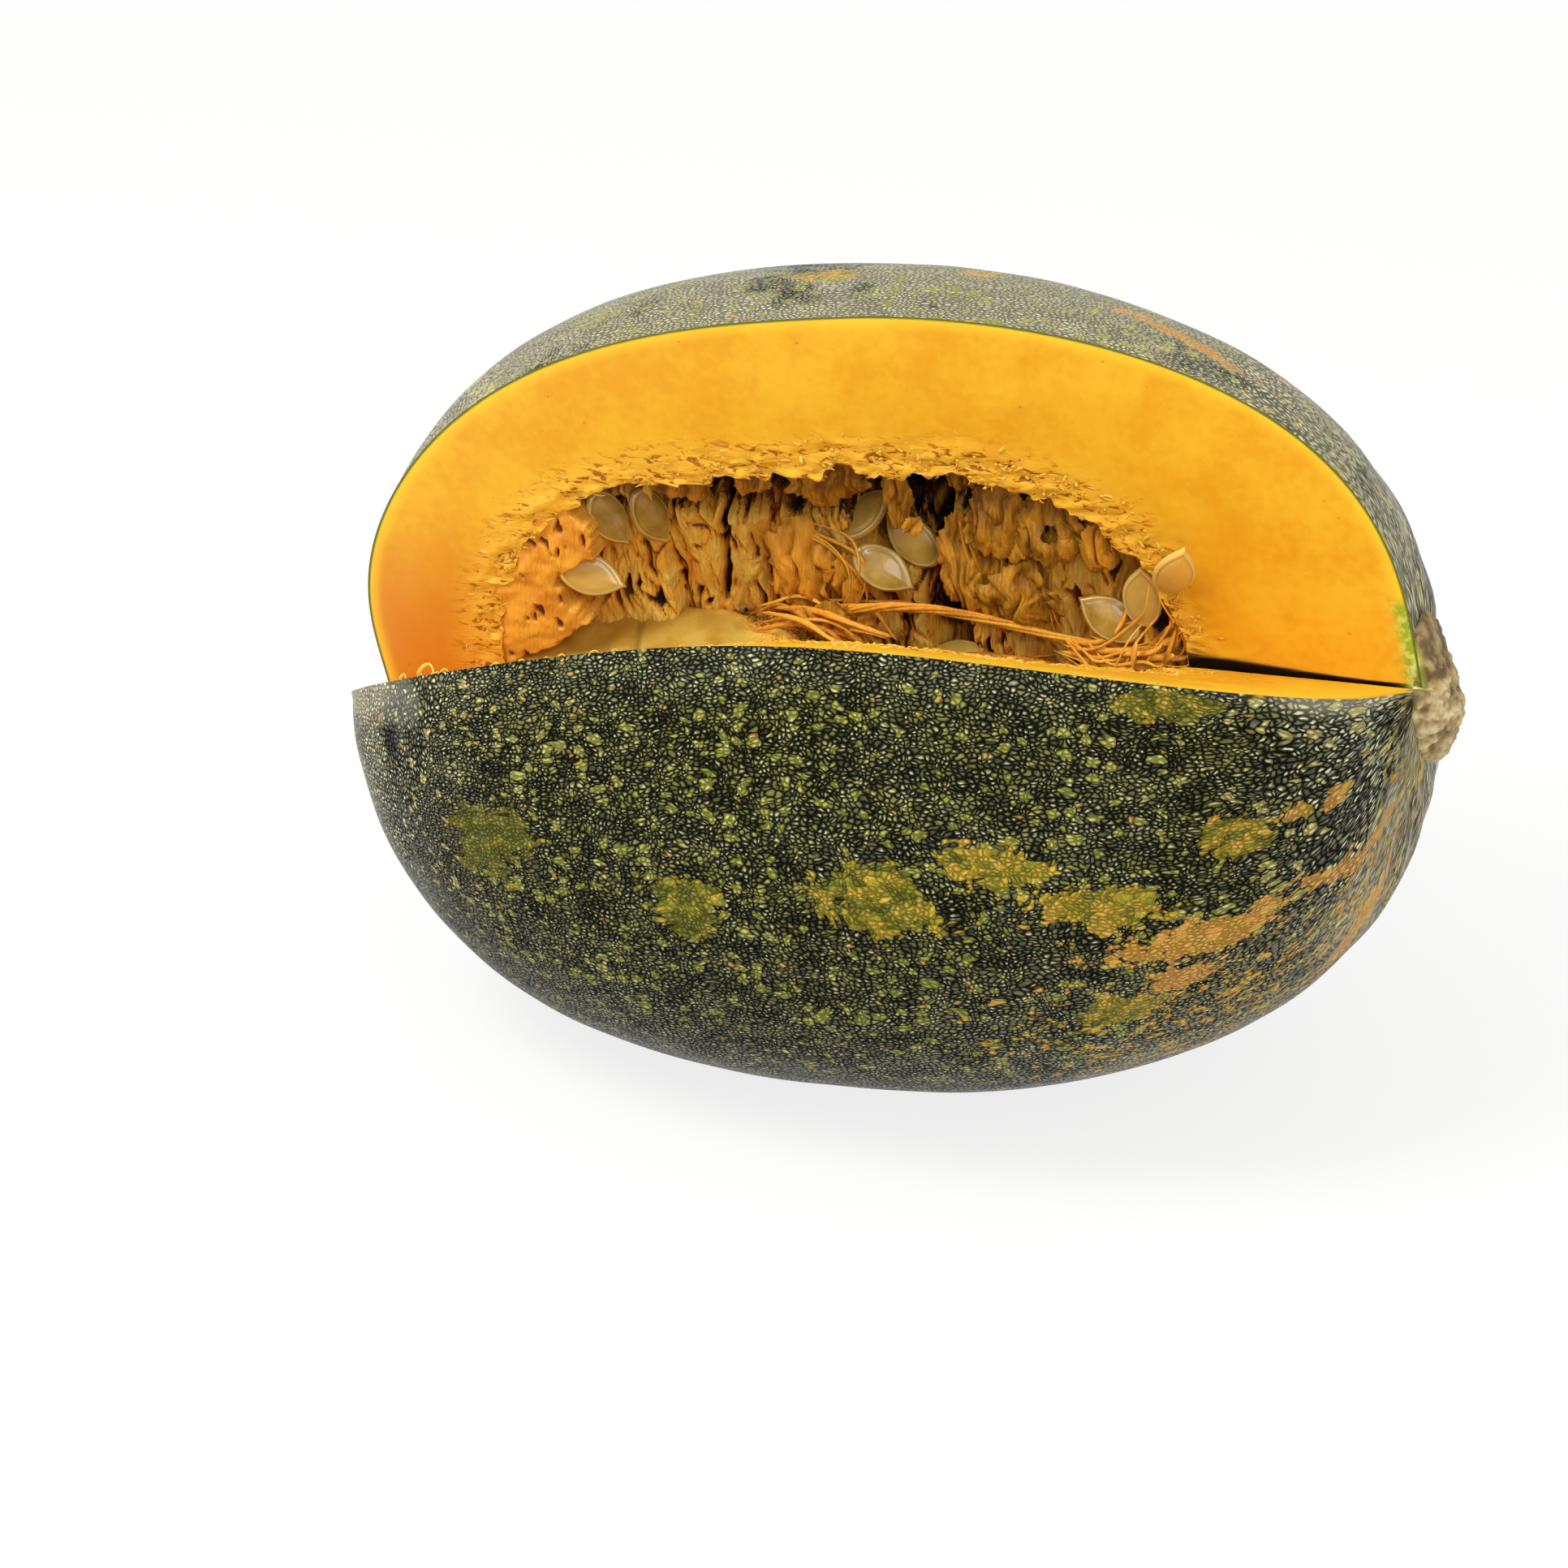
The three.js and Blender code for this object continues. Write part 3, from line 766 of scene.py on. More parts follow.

        # Painted highlights on the pebble tops over it all, then the furrows, which ripe skin and the bloom
        # with its painted sheen half hide.
        # which pebbles take a painted highlight: more by the stem and in the painted sheen, fewer on ripe
        # skin
        glint = add(Op.RAMP, other, 0.4, 1, 0, 0.8)
        for share, gain, base in ((near_stem, 1.3, 1), (bloom, 0.6, 0.85), (ripe, -0.75, 1)):
            glint = add(Op.TIMES, glint, add(Op.TIMES_PLUS, share, gain, base))
        skin = add(Op.BLEND, add(Op.TIMES, glint_spot, glint), skin, self.pebble_glint)
        shown = 0.97
        # the bloom with its painted sheen also hides the furrows
        wax_and_sheen_cover = add(Op.RAMP, bloom, 0.45, 1)
        for share, gain in ((ripe, -0.46), (spotted, -0.38), (wax_and_sheen_cover, -0.3), (smooth, -0.6)):
            shown = add(Op.TIMES_PLUS, share, gain, shown)
        furrowed = add(Op.TIMES, add(Op.LESS, 1, body), shown)
        for share, colour in ((furrowed, self.furrow), (scar, self.scar)):
            skin = add(Op.BLEND, share, skin, colour)

        fine = add(Op.NOISE, in_mm, 1.8, 2)
        height = add(Op.TIMES_PLUS, fine, 0.3, body)
        height = add(Op.TIMES_PLUS, scar, -4, height)
        shader = {
            "Base Color": skin,
            "Roughness": add(Op.RAMP, fine, 0, 1, 0.2, 0.4),
            "IOR": 1.45,
            "Specular IOR Level": add(Op.TIMES_PLUS, body, 0.26, 0.01),
        }
        close_material(add, 0.9, self.relief_mm, height, shader)
        return material


@dataclass(frozen=True)
class CutFlesh:
    """Freshly cut squash flesh: dense, moist and a little translucent.

    What gives it its look: soft amber clouds some 18 mm wide, fine mottling of 1 to 3 mm, a
    yellower layer under the rind and a hair of green at it. Round the hollow the tissue is
    stringy, with slits 2 to 5 mm long painted dark orange as shade. Painted shade also darkens
    the low blossom end of the rear face, the knife's slit along the edge and the hollow's wall
    as it goes in.
    """

    amber: str = "#de9f1d"
    gold: str = "#e7b42b"
    # orange of the low blossom end of the rear face, darkened there as painted shade
    ripened: str = "#cf7c22"
    under_rind: str = "#f3cf34"
    green: str = "#5f6a1c"
    string: str = "#eab73c"
    string_dark: str = "#df9b26"
    # painted shade: dark orange in the torn slits, brown on the hollow's wall as it goes in (partly its own
    # tissue), near black deep in the hollow and in the knife's slit
    slit: str = "#8f450c"
    inner_wall_and_shade: str = "#b57c28"
    deep: str = "#150902"
    speck: str = "#b5651a"
    stem_green: str = "#93a52b"
    stem_pale: str = "#c6c95c"
    cloud_mm: float = 18
    mottle_mm: float = 2.6
    slit_mm: Pair = (4, 1.4)
    slit_slant: Triple = (0, 0.7, 0.2)
    relief_mm: float = 0.6

    def material(self) -> Material:
        """The flesh as a node material, on object coordinates and the piece's depths.

        Returns:
            The material.
        """
        material, add = new_material("cut_squash_flesh")
        names = ("ripened", "under_rind", "off_hollow", "slit", "wall", "deep", "stem_green")
        value = {name: add(Op.VALUE, attribute_name=name) for name in names}
        in_mm = add(Op.SCALE, add(Op.PLACE), IN_MM)
        clouds = add(Op.NOISE, in_mm, 1 / self.cloud_mm, 3)
        mottle = add(Op.NOISE, in_mm, 1 / self.mottle_mm, 4)
        both = add(Op.TIMES_PLUS, mottle, 0.4, add(Op.TIMES, clouds, 0.75))
        under, off = value["under_rind"], value["off_hollow"]

        # Stringy tissue with slanting slits round the hollow, the slits painted dark as shade.
        scales = (1 / self.slit_mm[0], 1 / self.slit_mm[1], 1 / self.slit_mm[1])
        strings = add(Op.NOISE, add(Op.SCALE, in_mm, scales, self.slit_slant), 1, 3, 1)
        patches = add(Op.NOISE, in_mm, 0.16, 2)
        torn = add(Op.RAMP, off, 13, 4)
        stringy = add(Op.BLEND, add(Op.RAMP, strings, 0.36, 0.56), self.string_dark, self.string)
        cuts = add(Op.RAMP, add(Op.TIMES_PLUS, patches, -0.3, strings), 0.27, 0.2)
        cuts = add(Op.TIMES, cuts, add(Op.RAMP, off, 12, 5))
        specks = add(Op.CELLS, in_mm, 0.13)["Distance"]
        veins = add(Op.NOISE, in_mm, 0.5, 4)
        stem = add(Op.BLEND, add(Op.RAMP, veins, 0.42, 0.62), self.stem_green, self.stem_pale)

        # Each layer covers a share of those before it. Painted shade lies in the ripened layer on the low
        # blossom end, in the slits, on the wall and deep in the hollow.
        flesh = add(Op.BLEND, add(Op.RAMP, both, 0.4, 0.76), self.amber, self.gold)
        for share, colour in (
            (add(Op.TIMES, value["ripened"], 0.85), self.ripened),
            (add(Op.RAMP, under, 4.2, 0.6, 0, 0.6), self.under_rind),
            (add(Op.TIMES, torn, 0.7), stringy),
            (add(Op.TIMES, cuts, 0.85), self.slit),
            (value["slit"], self.deep),
            (value["wall"], self.inner_wall_and_shade),
            (value["deep"], self.deep),
            (add(Op.RAMP, specks, 0.07, 0.03, 0, 0.5), self.speck),
            (value["stem_green"], stem),
            (add(Op.RAMP, under, 0.9, 0.3), self.green),
        ):
            flesh = add(Op.BLEND, share, flesh, colour)

        height = add(Op.TIMES_PLUS, add(Op.NOISE, in_mm, 1.3, 3), 0.25, add(Op.TIMES, strings, torn))
        height = add(Op.TIMES_PLUS, cuts, -0.6, height)
        shader = {
            "Base Color": flesh,
            "Roughness": add(Op.RAMP, mottle, 0.3, 0.7, 0.38, 0.56),
            "IOR": 1.4,
            "Specular IOR Level": 0.28,
            "Subsurface Weight": 0.2,
            "Subsurface Radius": (1, 0.42, 0.12),
            "Subsurface Scale": 0.002,
            "Coat Weight": 0.05,
            "Coat Roughness": 0.2,
        }
        close_material(add, 0.5, self.relief_mm, height, shader)
        return material


@dataclass(frozen=True)
class StringyPulp:
    """Moist pulp drawn out in folds and strings, with slits between them painted dark as shade.

    Folds are 3 to 6 mm wide and the strings in them about 1 mm. The pad is smooth and pale,
    and the tissue left flush with the cut is coloured like the flesh.
    """

    # fold tones from lit folds to near black, the dark end painted shade
    folds: tuple[tuple[float, str], ...] = (
        (0.05, "#ffda68"), (0.3, "#ffc64c"), (0.53, "#eba735"), (0.74, "#7a450d"), (0.9, "#140901")
    )
    pad: str = "#ba8c2e"
    pad_pale: str = "#cda746"
    # painted shade in the pad's crease
    pad_crease_shade: str = "#7d5a1c"
    flush: str = "#efa935"
    flush_dark: str = "#dc8e2a"
    # painted shade in the slits of the flush tissue
    flush_slit_shade: str = "#8a4410"
    string_mm: float = 0.8
    long_mm: float = 8
    relief_mm: float = 0.9

    def material(self) -> Material:
        """The pulp as a node material, on object coordinates and the painted shade of the piece's pits.

        Returns:
            The material.
        """
        material, add = new_material("stringy_pulp")
        place = add(Op.PLACE)
        across, tall = 1000 / self.string_mm, 1000 / self.long_mm
        streaks = add(Op.NOISE, add(Op.SCALE, place, (across, across, tall)), 1, 3, 0.8)
        blots = add(Op.NOISE, place, 150, 4)
        pit, pad, flush = (add(Op.VALUE, attribute_name=name) for name in ("pit", "pad", "flush"))
        # painted shade: pits, valleys and slits darken towards near black
        shade = add(Op.TIMES_PLUS, add(Op.LESS, streaks, 0.52), 0.95, pit)
        shade = add(Op.TIMES_PLUS, add(Op.LESS, blots, 0.5), 0.8, shade)
        pulp = add(Op.TONES, shade, ramp=self.folds)
        patchy = add(Op.RAMP, blots, 0.35, 0.65)
        smooth = add(Op.BLEND, patchy, self.pad, self.pad_pale)
        smooth = add(Op.BLEND, add(Op.TIMES, pit, 0.8), smooth, self.pad_crease_shade)
        like_flesh = add(Op.BLEND, patchy, self.flush_dark, self.flush)
        like_flesh = add(Op.BLEND, add(Op.RAMP, pit, 0.45, 0.8), like_flesh, self.flush_slit_shade)
        colour = add(Op.BLEND, flush, add(Op.BLEND, pad, pulp, smooth), like_flesh)
        height = add(Op.TIMES, streaks, add(Op.TIMES_PLUS, pad, -0.85, 1))
        height = add(Op.TIMES, height, add(Op.TIMES_PLUS, flush, -0.5, 1))
        shader = {
            "Base Color": colour,
            "Roughness": 0.46,
            "IOR": 1.4,
            "Specular IOR Level": 0.35,
            "Subsurface Weight": 0.06,
            "Subsurface Radius": (1, 0.5, 0.15),
            "Subsurface Scale": 0.002,
            "Coat Weight": 0.06,
            "Coat Roughness": 0.18,
        }
        close_material(add, 0.9, self.relief_mm, height, shader)
        return material


class StringTone(Enum):
    """Named colour ranges of loose tissue, from its dullest to its brightest."""

    PULP = ("pulp_string", ("#b8701a", "#ec9628", "#f8b03c"), 0.38)
    TORN_FLESH = ("torn_flesh", ("#e39c2c", "#efb038", "#f6c456"), 0.42)
    DRIED_FILM = ("dried_film", ("#8a5810", "#c88c26", "#ee9f2e"), 0.5)


@dataclass(frozen=True)
class MoistString:
    """Moist string or film of tissue: a gleam along it, and light that soaks through.

    Fibres about 1 mm wide and 7 mm long run down it, and blots 6 mm wide vary its tone.
    """

    tone: StringTone
    blot_scale: float = 170
    fibre_scale: Triple = (1200, 1200, 140)
    relief_mm: float = 0.6

    def material(self) -> Material:
        """The tissue as a node material, coloured by each string's own tone.

        Returns:
            The material.
        """
        name, colours, roughness = self.tone.value
        material, add = new_material(name)
        tone, place = add(Op.VALUE, attribute_name="tone"), add(Op.PLACE)
        blots = add(Op.NOISE, place, self.blot_scale, 3)
        varied = add(Op.TIMES_PLUS, add(Op.PLUS, blots, -0.5), 0.9, tone)
        fibres = add(Op.NOISE, add(Op.SCALE, place, self.fibre_scale), 1, 3, 0.6)
        varied = add(Op.TIMES_PLUS, add(Op.LESS, fibres, 0.5), 1.1, varied)
        shader = {
            "Base Color": add(Op.TONES, varied, ramp=tuple(zip((0, 0.5, 1), colours))),
            "Roughness": roughness,
            "IOR": 1.4,
            "Subsurface Weight": 0.25,
            "Subsurface Radius": (1, 0.4, 0.12),
            "Subsurface Scale": 0.0015,
            "Specular IOR Level": 0.3,
            "Coat Weight": 0.04,
            "Coat Roughness": 0.15,
        }
        close_material(add, 0.6, self.relief_mm, add(Op.TIMES_PLUS, fibres, 1.6, blots), shader)
        return material


@dataclass(frozen=True)
class SeedCoat:
    """Wet seed coat: smooth and glossy, tan with olive stains that also carry painted shade, paler on the
    raised rim and painted darker as shade in the groove inside it.
    """

    face: str = "#e3ba5e"
    stain_and_shade: str = "#997322"
    # painted shade in the groove inside the rim
    groove: str = "#8c601f"
    rim: str = "#f2d27c"
    stain_scale: float = 220
    fibre_scale: float = 1100
    relief_mm: float = 0.3

    def material(self) -> Material:
        """The coat as a node material, on the seed's rim and its own tone.

        Returns:
            The material.
        """
        material, add = new_material("wet_seed_coat")
        rim, tone = (add(Op.VALUE, attribute_name=name) for name in ("rim", "tone"))
        place = add(Op.PLACE)
        share = add(Op.TIMES, tone, add(Op.NOISE, place, self.stain_scale, 4))
        share = add(Op.TIMES, share, 1.6, use_clamp=True)
        face = add(Op.BLEND, share, self.face, self.stain_and_shade)
        # painted shade in the groove
        face = add(Op.BLEND, add(Op.RAMP, rim, 0.4, 0.05, 0, 0.3), face, self.groove)
        shader = {
            "Base Color": add(Op.BLEND, add(Op.RAMP, rim, 0.5, 1, 0, 0.7), face, self.rim),
            "Roughness": 0.26,
            "IOR": 1.45,
            "Subsurface Weight": 0.08,
            "Subsurface Radius": (1, 0.6, 0.3),
            "Subsurface Scale": 0.0015,
            "Coat Weight": 0.4,
            "Coat Roughness": 0.08,
        }
        close_material(add, 0.15, self.relief_mm, add(Op.NOISE, place, self.fibre_scale, 2), shader)
        return material


@dataclass(frozen=True)
class StemCork:
    """Dry cork of the stem: dull tan with brown fissures, painted darker as shade where the bark sinks, and
    green where it is cut.
    """

    cork: str = "#a8905f"
    pale: str = "#d2c294"
    fissure: str = "#6b5433"
    green_dark: str = "#6f7a24"
    green: str = "#9ea43a"
    green_pale: str = "#d9d88c"
    grain_scale: float = 420
    blot_scale: float = 120
    relief_mm: float = 0.6

    def material(self) -> Material:
        """The cork as a node material, on object coordinates, the stub's cut face and its painted shade.

        Returns:
            The material.
        """
        material, add = new_material("dry_stem_cork")
        cut, pit = (add(Op.VALUE, attribute_name=name) for name in ("cut", "pit"))
        place = add(Op.PLACE)
        grains = add(Op.NOISE, place, self.grain_scale, 5)
        blots = add(Op.NOISE, place, self.blot_scale, 4)
        share = add(Op.TIMES_PLUS, grains, 0.6, pit)
        bark = add(Op.TONES, share, ramp=((0.45, self.pale), (0.75, self.cork), (1.1, self.fissure)))
        greens = ((0.35, self.green_dark), (0.5, self.green), (0.62, self.green_pale))
        colour = add(Op.BLEND, cut, bark, add(Op.TONES, blots, ramp=greens))
        close_material(add, 0.5, self.relief_mm, grains, {"Base Color": colour, "Roughness": 0.75})
        return material


# ==== The squash's body: waxy rind and cut flesh in one closed piece ====


@dataclass(frozen=True)
class RipeBlotch:
    """One ripe blotch on the rind: its place and half sizes in degrees along (theta) and
    round (phi) the cut's edge, its slant, and its tone from moss (0) to orange (1)."""

    theta: float
    phi: float
    half_theta: float
    half_phi: float
    tone: float = 0
    slant: float = 0

    def distance(self, along: Array, around: Array) -> Array:
        """Distance of places in degrees from the blotch's middle over its half sizes."""
        middle = (self.theta, self.phi + self.slant * (along - self.theta))
        return oval(along, around, middle, (self.half_theta, self.half_phi))


@dataclass
class RindPattern:
    """Where the rind is ripe, spotty, browner low down, or waxy with painted sheen."""

    NAMES: ClassVar[tuple[str, ...]] = ("ripe", "ripe_tone", "bloom", "earth", "spotty", "scar", "smooth")
    blotches: tuple[RipeBlotch, ...] = (
        RipeBlotch(136, 90, 6, 7, 0),
        RipeBlotch(109, 97, 5.5, 5, 0.1),
        RipeBlotch(80, 94, 9, 5.5, 0.25),
        RipeBlotch(65, 89, 7, 3.2, 0.35, -0.1),
        RipeBlotch(54, 96, 7.5, 3.6, 0.42, -0.25),
        RipeBlotch(38, 88, 4.5, 4, 0.35, -0.2),
        RipeBlotch(30, 87, 3, 2.4, 0.7),
        RipeBlotch(24, 88.5, 3.5, 2.2, 0.75),
        RipeBlotch(44, 104.5, 11, 3.4, 0.85),
        RipeBlotch(48, 112, 5.5, 2.8, 1),
        RipeBlotch(55, 115.5, 7, 2.6, 0.35),
        RipeBlotch(23, 113, 10, 3, 1, -1.1),
        RipeBlotch(44, 64.5, 6.5, 2.6, 0.15),
        RipeBlotch(102, 342, 6, 3, 0.6),
        RipeBlotch(78, 337, 4, 2.5, 0.6),
        RipeBlotch(49, 345, 9, 2.4, 1, -0.4),
    )
    unseen: int = 16
    unseen_spans: tuple[Pair, ...] = ((25, 150), (135, 332), (3, 9), (2, 4.5), (0.1, 1), (-0.3, 0.3))
    scar: RipeBlotch = RipeBlotch(152.7, 72.3, 1.7, 4)
    scar_skin: RipeBlotch = RipeBlotch(151.5, 64, 4.5, 6.5)

    def ripeness(self, along: Array, around: Array, points: Array) -> tuple[Array, Array]:
        """How ripe the skin is and in which tone.

        A blotch is an oval whose edge wanders with the grain of the skin. The flank by the
        stem is a third ripe all over, and more blotches are strewn over the back.

        Args:
            along: Degrees along the length of each point.
            around: Degrees round the cut's edge of each point.
            points: The points.

        Returns:
            Ripeness and its tone, one number each for each point.
        """
        source = np.random.default_rng(61)
        strewn = [
            RipeBlotch(*(source.uniform(*span) for span in self.unseen_spans)) for _ in range(self.unseen)
        ]
        wander = 0.40 * rough(points, 9, 62, 3)
        ripe = 0.34 * smoothstep(around, 98, 120) * fade(along, 50, 95) * fade(around, 150, 190)
        tone = np.full_like(along, 0.6)
        for blotch in (*self.blotches, *strewn):
            share = fade(blotch.distance(along, around) + wander, 0.55, 1.3)
            tone = np.where(share > ripe, blotch.tone, tone)
            ripe = np.maximum(ripe, share)
        return ripe, tone

    def values(self, theta: Array, phi: Array, points: Array) -> dict[str, Array]:
        """The pattern's numbers for points of the rind.

        Bloom, waxy and with painted sheen, lies along the cut's rim, at both ends and on the
        crown, in clouds 30 mm wide; on the crown it is the painted light and reflection of the
        upward-facing top. A darker brown lies on the blossom end and the underside.

        Args:
            theta: Angle along the length of each point.
            phi: Angle round the cut's edge of each point.
            points: The points.

        Returns:
            The numbers by their names.
        """
        along, around = np.degrees(theta), np.degrees(phi)
        cloud = rough(points, 30, 66, 2)
        flank = smoothstep(around, 98, 120) * fade(along, 50, 95)
        # along the rim and by the stem the bloom is painted sheen as much as wax
        rim = fade(around, 61, 70) * smoothstep(around, 20, 40)
        stem = fade(along, 15, 46) * (0.35 + 0.65 * fade(around, 62, 80))
        blossom = smoothstep(along, 138, 158)
        # painted light and reflection on the upward-facing crown, with some wax
        crown = smoothstep(around + 22 * cloud, 225, 352) * smoothstep(np.sin(theta), 0, 0.8)
        crown = crown * (0.35 + 0.65 * smoothstep(along + 12 * cloud, 30, 78))
        middle = bell(along, 58, 20) * bell(around, 80, 11)
        bloom = 0.5 * rim + 0.8 * stem + 0.65 * blossom + 0.55 * flank + 1.3 * crown + 0.3 * middle
        bloom = bloom + (0.25 + 0.35 * crown) * cloud + 0.45 * crown * rough(points, (9, 6, 6), 68, 2)
        # darker brown towards the blossom end and the underside
        earth = 0.7 * bell(along, 150, 16) * bell(around, 98, 16) - 0.2 * cloud
        earth = earth + 0.35 * smoothstep(around, 95, 125) * smoothstep(along, 70, 110)
        spotty = np.clip(0.85 - 0.5 * blossom - 0.35 * rim + 0.3 * crown, 0.15, 1)
        uneven = 0.35 * rough(points, 3.5, 67, 2)
        marks = (self.scar, self.scar_skin)
        scar, skin = (fade(m.distance(along, around) + uneven, 0.7, 1.1) for m in marks)
        # by the stem, near the rim, the grey smooth skin is painted sheen
        by_stem = fade(along, 20, 40) * fade(around, 60, 68)
        smooth = np.clip(0.9 * skin + smoothstep(along, 157, 168) + 0.45 * by_stem, 0, 1)
        bloom, earth = np.clip(bloom, 0, 1), np.clip(earth, 0, 0.8)
        numbers = (*self.ripeness(along, around, points), bloom, earth, spotty, scar, smooth)
        return dict(zip(self.NAMES, numbers))


@dataclass
class SquashBody:
    """The grown body: rind, two cut faces and the wall of the hollow.

    Every row is one closed loop about the cut's edge: round the rind, in along the rear
    face, round the hollow and out along the front face. At both ends of the edge the loop
    shrinks to a line.
    """

    rows: int = 262
    rows_at_slit: tuple[float, ...] = (0.0035, 0.006, 0.0085, 0.0105, 0.015, 0.02, 0.03)
    rind_columns: int = 214
    face_columns: int = 38
    hollow_columns: int = 44
    slit_width: Pair = (0.85, 2.7)
    slit_depth: float = 3.4
    torn_rim: float = 3.2
    pebble_run: Pair = (0.17, 0.78)
    fibre_zone: float = 12
    sharp_edge: float = 42

    def rind_reach(self, theta: Array, phi: Array) -> Array:
        """Distance to the rind, or to the pressed flat where that is nearer."""
        rays = FORM.cut_ray(theta, phi)
        return np.minimum(FORM.from_edge(FORM.rind_level, rays), FORM.ground_reach(rays))

    def hollow_reach(self, theta: Array, phi: Array) -> Array:
        """Distance to the wall of the hollow, torn and uneven near the cut faces.

        Args:
            theta: Angles along the edge.
            phi: Angles round it.

        Returns:
            Distances from the edge point.
        """
        rays = FORM.cut_ray(theta, phi)
        wall = FORM.from_edge(FORM.hollow_level, rays)
        points = FORM.edge + wall[..., None] * rays
        ragged = self.torn_rim * rough(points, 11, 3)
        ragged = ragged + 1.1 * grain(points, 4.6, 9) + 0.9 * grain(points, 2.2, 8)
        return wall + ragged * smoothstep(np.sin(theta), 0.02, 0.25)

    def face(self, theta: Array, phi: Array, share: Array, outward: float) -> Array:
        """Points of one cut face, with its relief.

        Round the hollow the tissue is torn: pits about 7 mm wide and fibres 2 mm wide. The
        rest has the knife's own waves, a tenth of a millimetre high, and a slit runs along
        the edge.

        Args:
            theta: Row angles.
            phi: Angle of the face in each row.
            share: 0 at the hollow and 1 at the rind.
            outward: 1 where the face looks to the front, -1 where it looks back up.

        Returns:
            Points, rows by shares by three.
        """
        rays = FORM.cut_ray(theta, phi)
        hollow = self.hollow_reach(theta, phi)[:, None]
        rind = self.rind_reach(theta, phi)[:, None]
        distance = mix(hollow, rind, share[None, :])
        points = FORM.edge + distance[..., None] * rays[:, None, :]
        normal = unit(np.cross(rays, FORM.cut_axes[0])) * outward
        off_edge = distance * np.sin(theta)[:, None]
        at_rind = smoothstep(rind - distance, 0, 6)
        torn = fade((distance - hollow) / self.fibre_zone, 0.35, 1) * smoothstep(off_edge, 2, 9)
        pits = np.clip(rough(points, (7, 7, 3.2), 21), -1, 0.6)
        fibres = grain(points, (4.2, 1.8, 1.5), 25)
        knife = 0.10 * grain(points, (60, 9, 9), 31)
        relief = (torn * (0.85 * pits + 0.4 * fibres) + knife * at_rind) * smoothstep(off_edge, 0, 4)
        slit = self.slit(theta, distance, off_edge) * at_rind
        points = points + (relief * at_rind)[..., None] * normal[:, None, :]
        return points - (self.slit_depth * slit)[..., None] * FORM.cut_axes[1]

    def slit(self, theta: Array, distance: Array, off_edge: Array) -> Array:
        """1 in the slit the knife left along the edge, narrowing from the hollow to the stem."""
        width = mix(self.slit_width[1], self.slit_width[0], smoothstep(distance, 60, 112))
        return fade(off_edge, 0.7 * width, width) * np.where(np.cos(theta) > 0, 1, 0.2)[:, None]

    def rind(self, theta: Array, phi: Array, turn: Array) -> tuple[Array, Array]:
        """Points of the rind, and how far its rows of pebbles have run from the stem.

        Over the plain form lie broad soft lumps and 21 fine ridges that gather at the stem.
        They fade out at the cut, at the ends and just above the pressed flat. The run grows
        slowly near the stem, so that the pebbles are long there.

        Args:
            theta: Row angles, rows by columns.
            phi: Angles round the edge, rows by columns.
            turn: 0 at the front face and 1 at the rear face.

        Returns:
            Points, rows by columns by three, and the run of each.
        """
        rind = FORM.edge + self.rind_reach(theta, phi)[..., None] * FORM.cut_ray(theta, phi)
        step = np.linalg.norm(np.diff(rind, axis=0, prepend=rind[:1]), axis=-1)
        arc = step.cumsum(axis=0)
        run = (step * mix(*self.pebble_run, smoothstep(arc, 6, 128))).cumsum(axis=0)
        lumps = 0.55 * rough(rind, (46, 30, 30), 51, 2)
        about = np.arctan2(rind[..., 2], rind[..., 1])
        ridges = np.sin(21 * about + 2 * grain(rind, 30, 55)) * np.exp(-arc / 42)
        relief = lumps + 0.45 * ridges * smoothstep(arc, 6, 26) - 0.35
        inset = smoothstep(turn, 0, 0.012) * smoothstep(1 - turn, 0, 0.012)
        above = smoothstep(FORM.lay_down(rind)[..., 2], 0.0006, 0.008)
        relief = relief * inset * smoothstep(np.sin(theta), 0.01, 0.08) * above
        outward = unit(rind - np.array([1, 0, 0]) * rind[..., :1] * 0.6)
        return rind + relief[..., None] * outward, run

    def shell(self) -> Shell:
        """The whole body as one shell, with its depths and its pattern's flow.

        Returns:
            The closed shell.
        """
        even = np.linspace(0, math.pi, self.rows)
        theta = np.sort(np.concatenate([even, self.rows_at_slit]))
        front, rear = FORM.front_angle(theta), np.full_like(theta, TURN)
        turn = np.linspace(0, 1, self.rind_columns + 1)
        phi = mix(front[:, None], TURN, turn[None, :])
        across = np.broadcast_to(theta[:, None], phi.shape)
        rind, run = self.rind(across, phi, turn)
        share = np.linspace(0, 1, self.face_columns + 1) ** 1.55
        back = self.face(theta, rear, share, 1)
        forward = self.face(theta, front, share, -1)
        back[:, -1], forward[:, -1] = rind[:, -1], rind[:, 0]
        inner_phi = mix(TURN, front[:, None], np.linspace(0, 1, self.hollow_columns + 1)[None, :])
        inner_theta = np.broadcast_to(theta[:, None], inner_phi.shape)
        wall = self.hollow_reach(inner_theta, inner_phi)
        hollow = FORM.edge + wall[..., None] * FORM.cut_ray(inner_theta, inner_phi)
        hollow[:, 0], hollow[:, -1] = back[:, 0], forward[:, 0]
        for grid in (rind, hollow):
            grid[[0, -1]] = grid[[0, -1], :1]
        forward[[0, -1]] = back[[0, -1]]
        points = np.concatenate([rind[:, :-1], back[:, :0:-1], hollow[:, :-1], forward[:, :-1]], axis=1)
        rows, columns = points.shape[:2]
        faces = grid_faces(rows, columns, closed=True)
        on_rind = self.rind_columns + 1
        flow = np.zeros((rows, columns, 2))
        flow[:, :on_rind] = stacked(run, phi * FORM.belly_radius)
        values = self.depths(theta, points, rind)
        for name, grid in RindPattern().values(across, phi, rind).items():
            values[name] = np.zeros((rows, columns))
            values[name][:, :on_rind] = grid
        slots = np.where(faces[:, 0] % columns < self.rind_columns, 0, 1)
        values = {name: grid.ravel() for name, grid in values.items()}
        return Shell(points.reshape(-1, 3), faces, values, flow.reshape(-1, 2) * MILLIMETRE, slots)

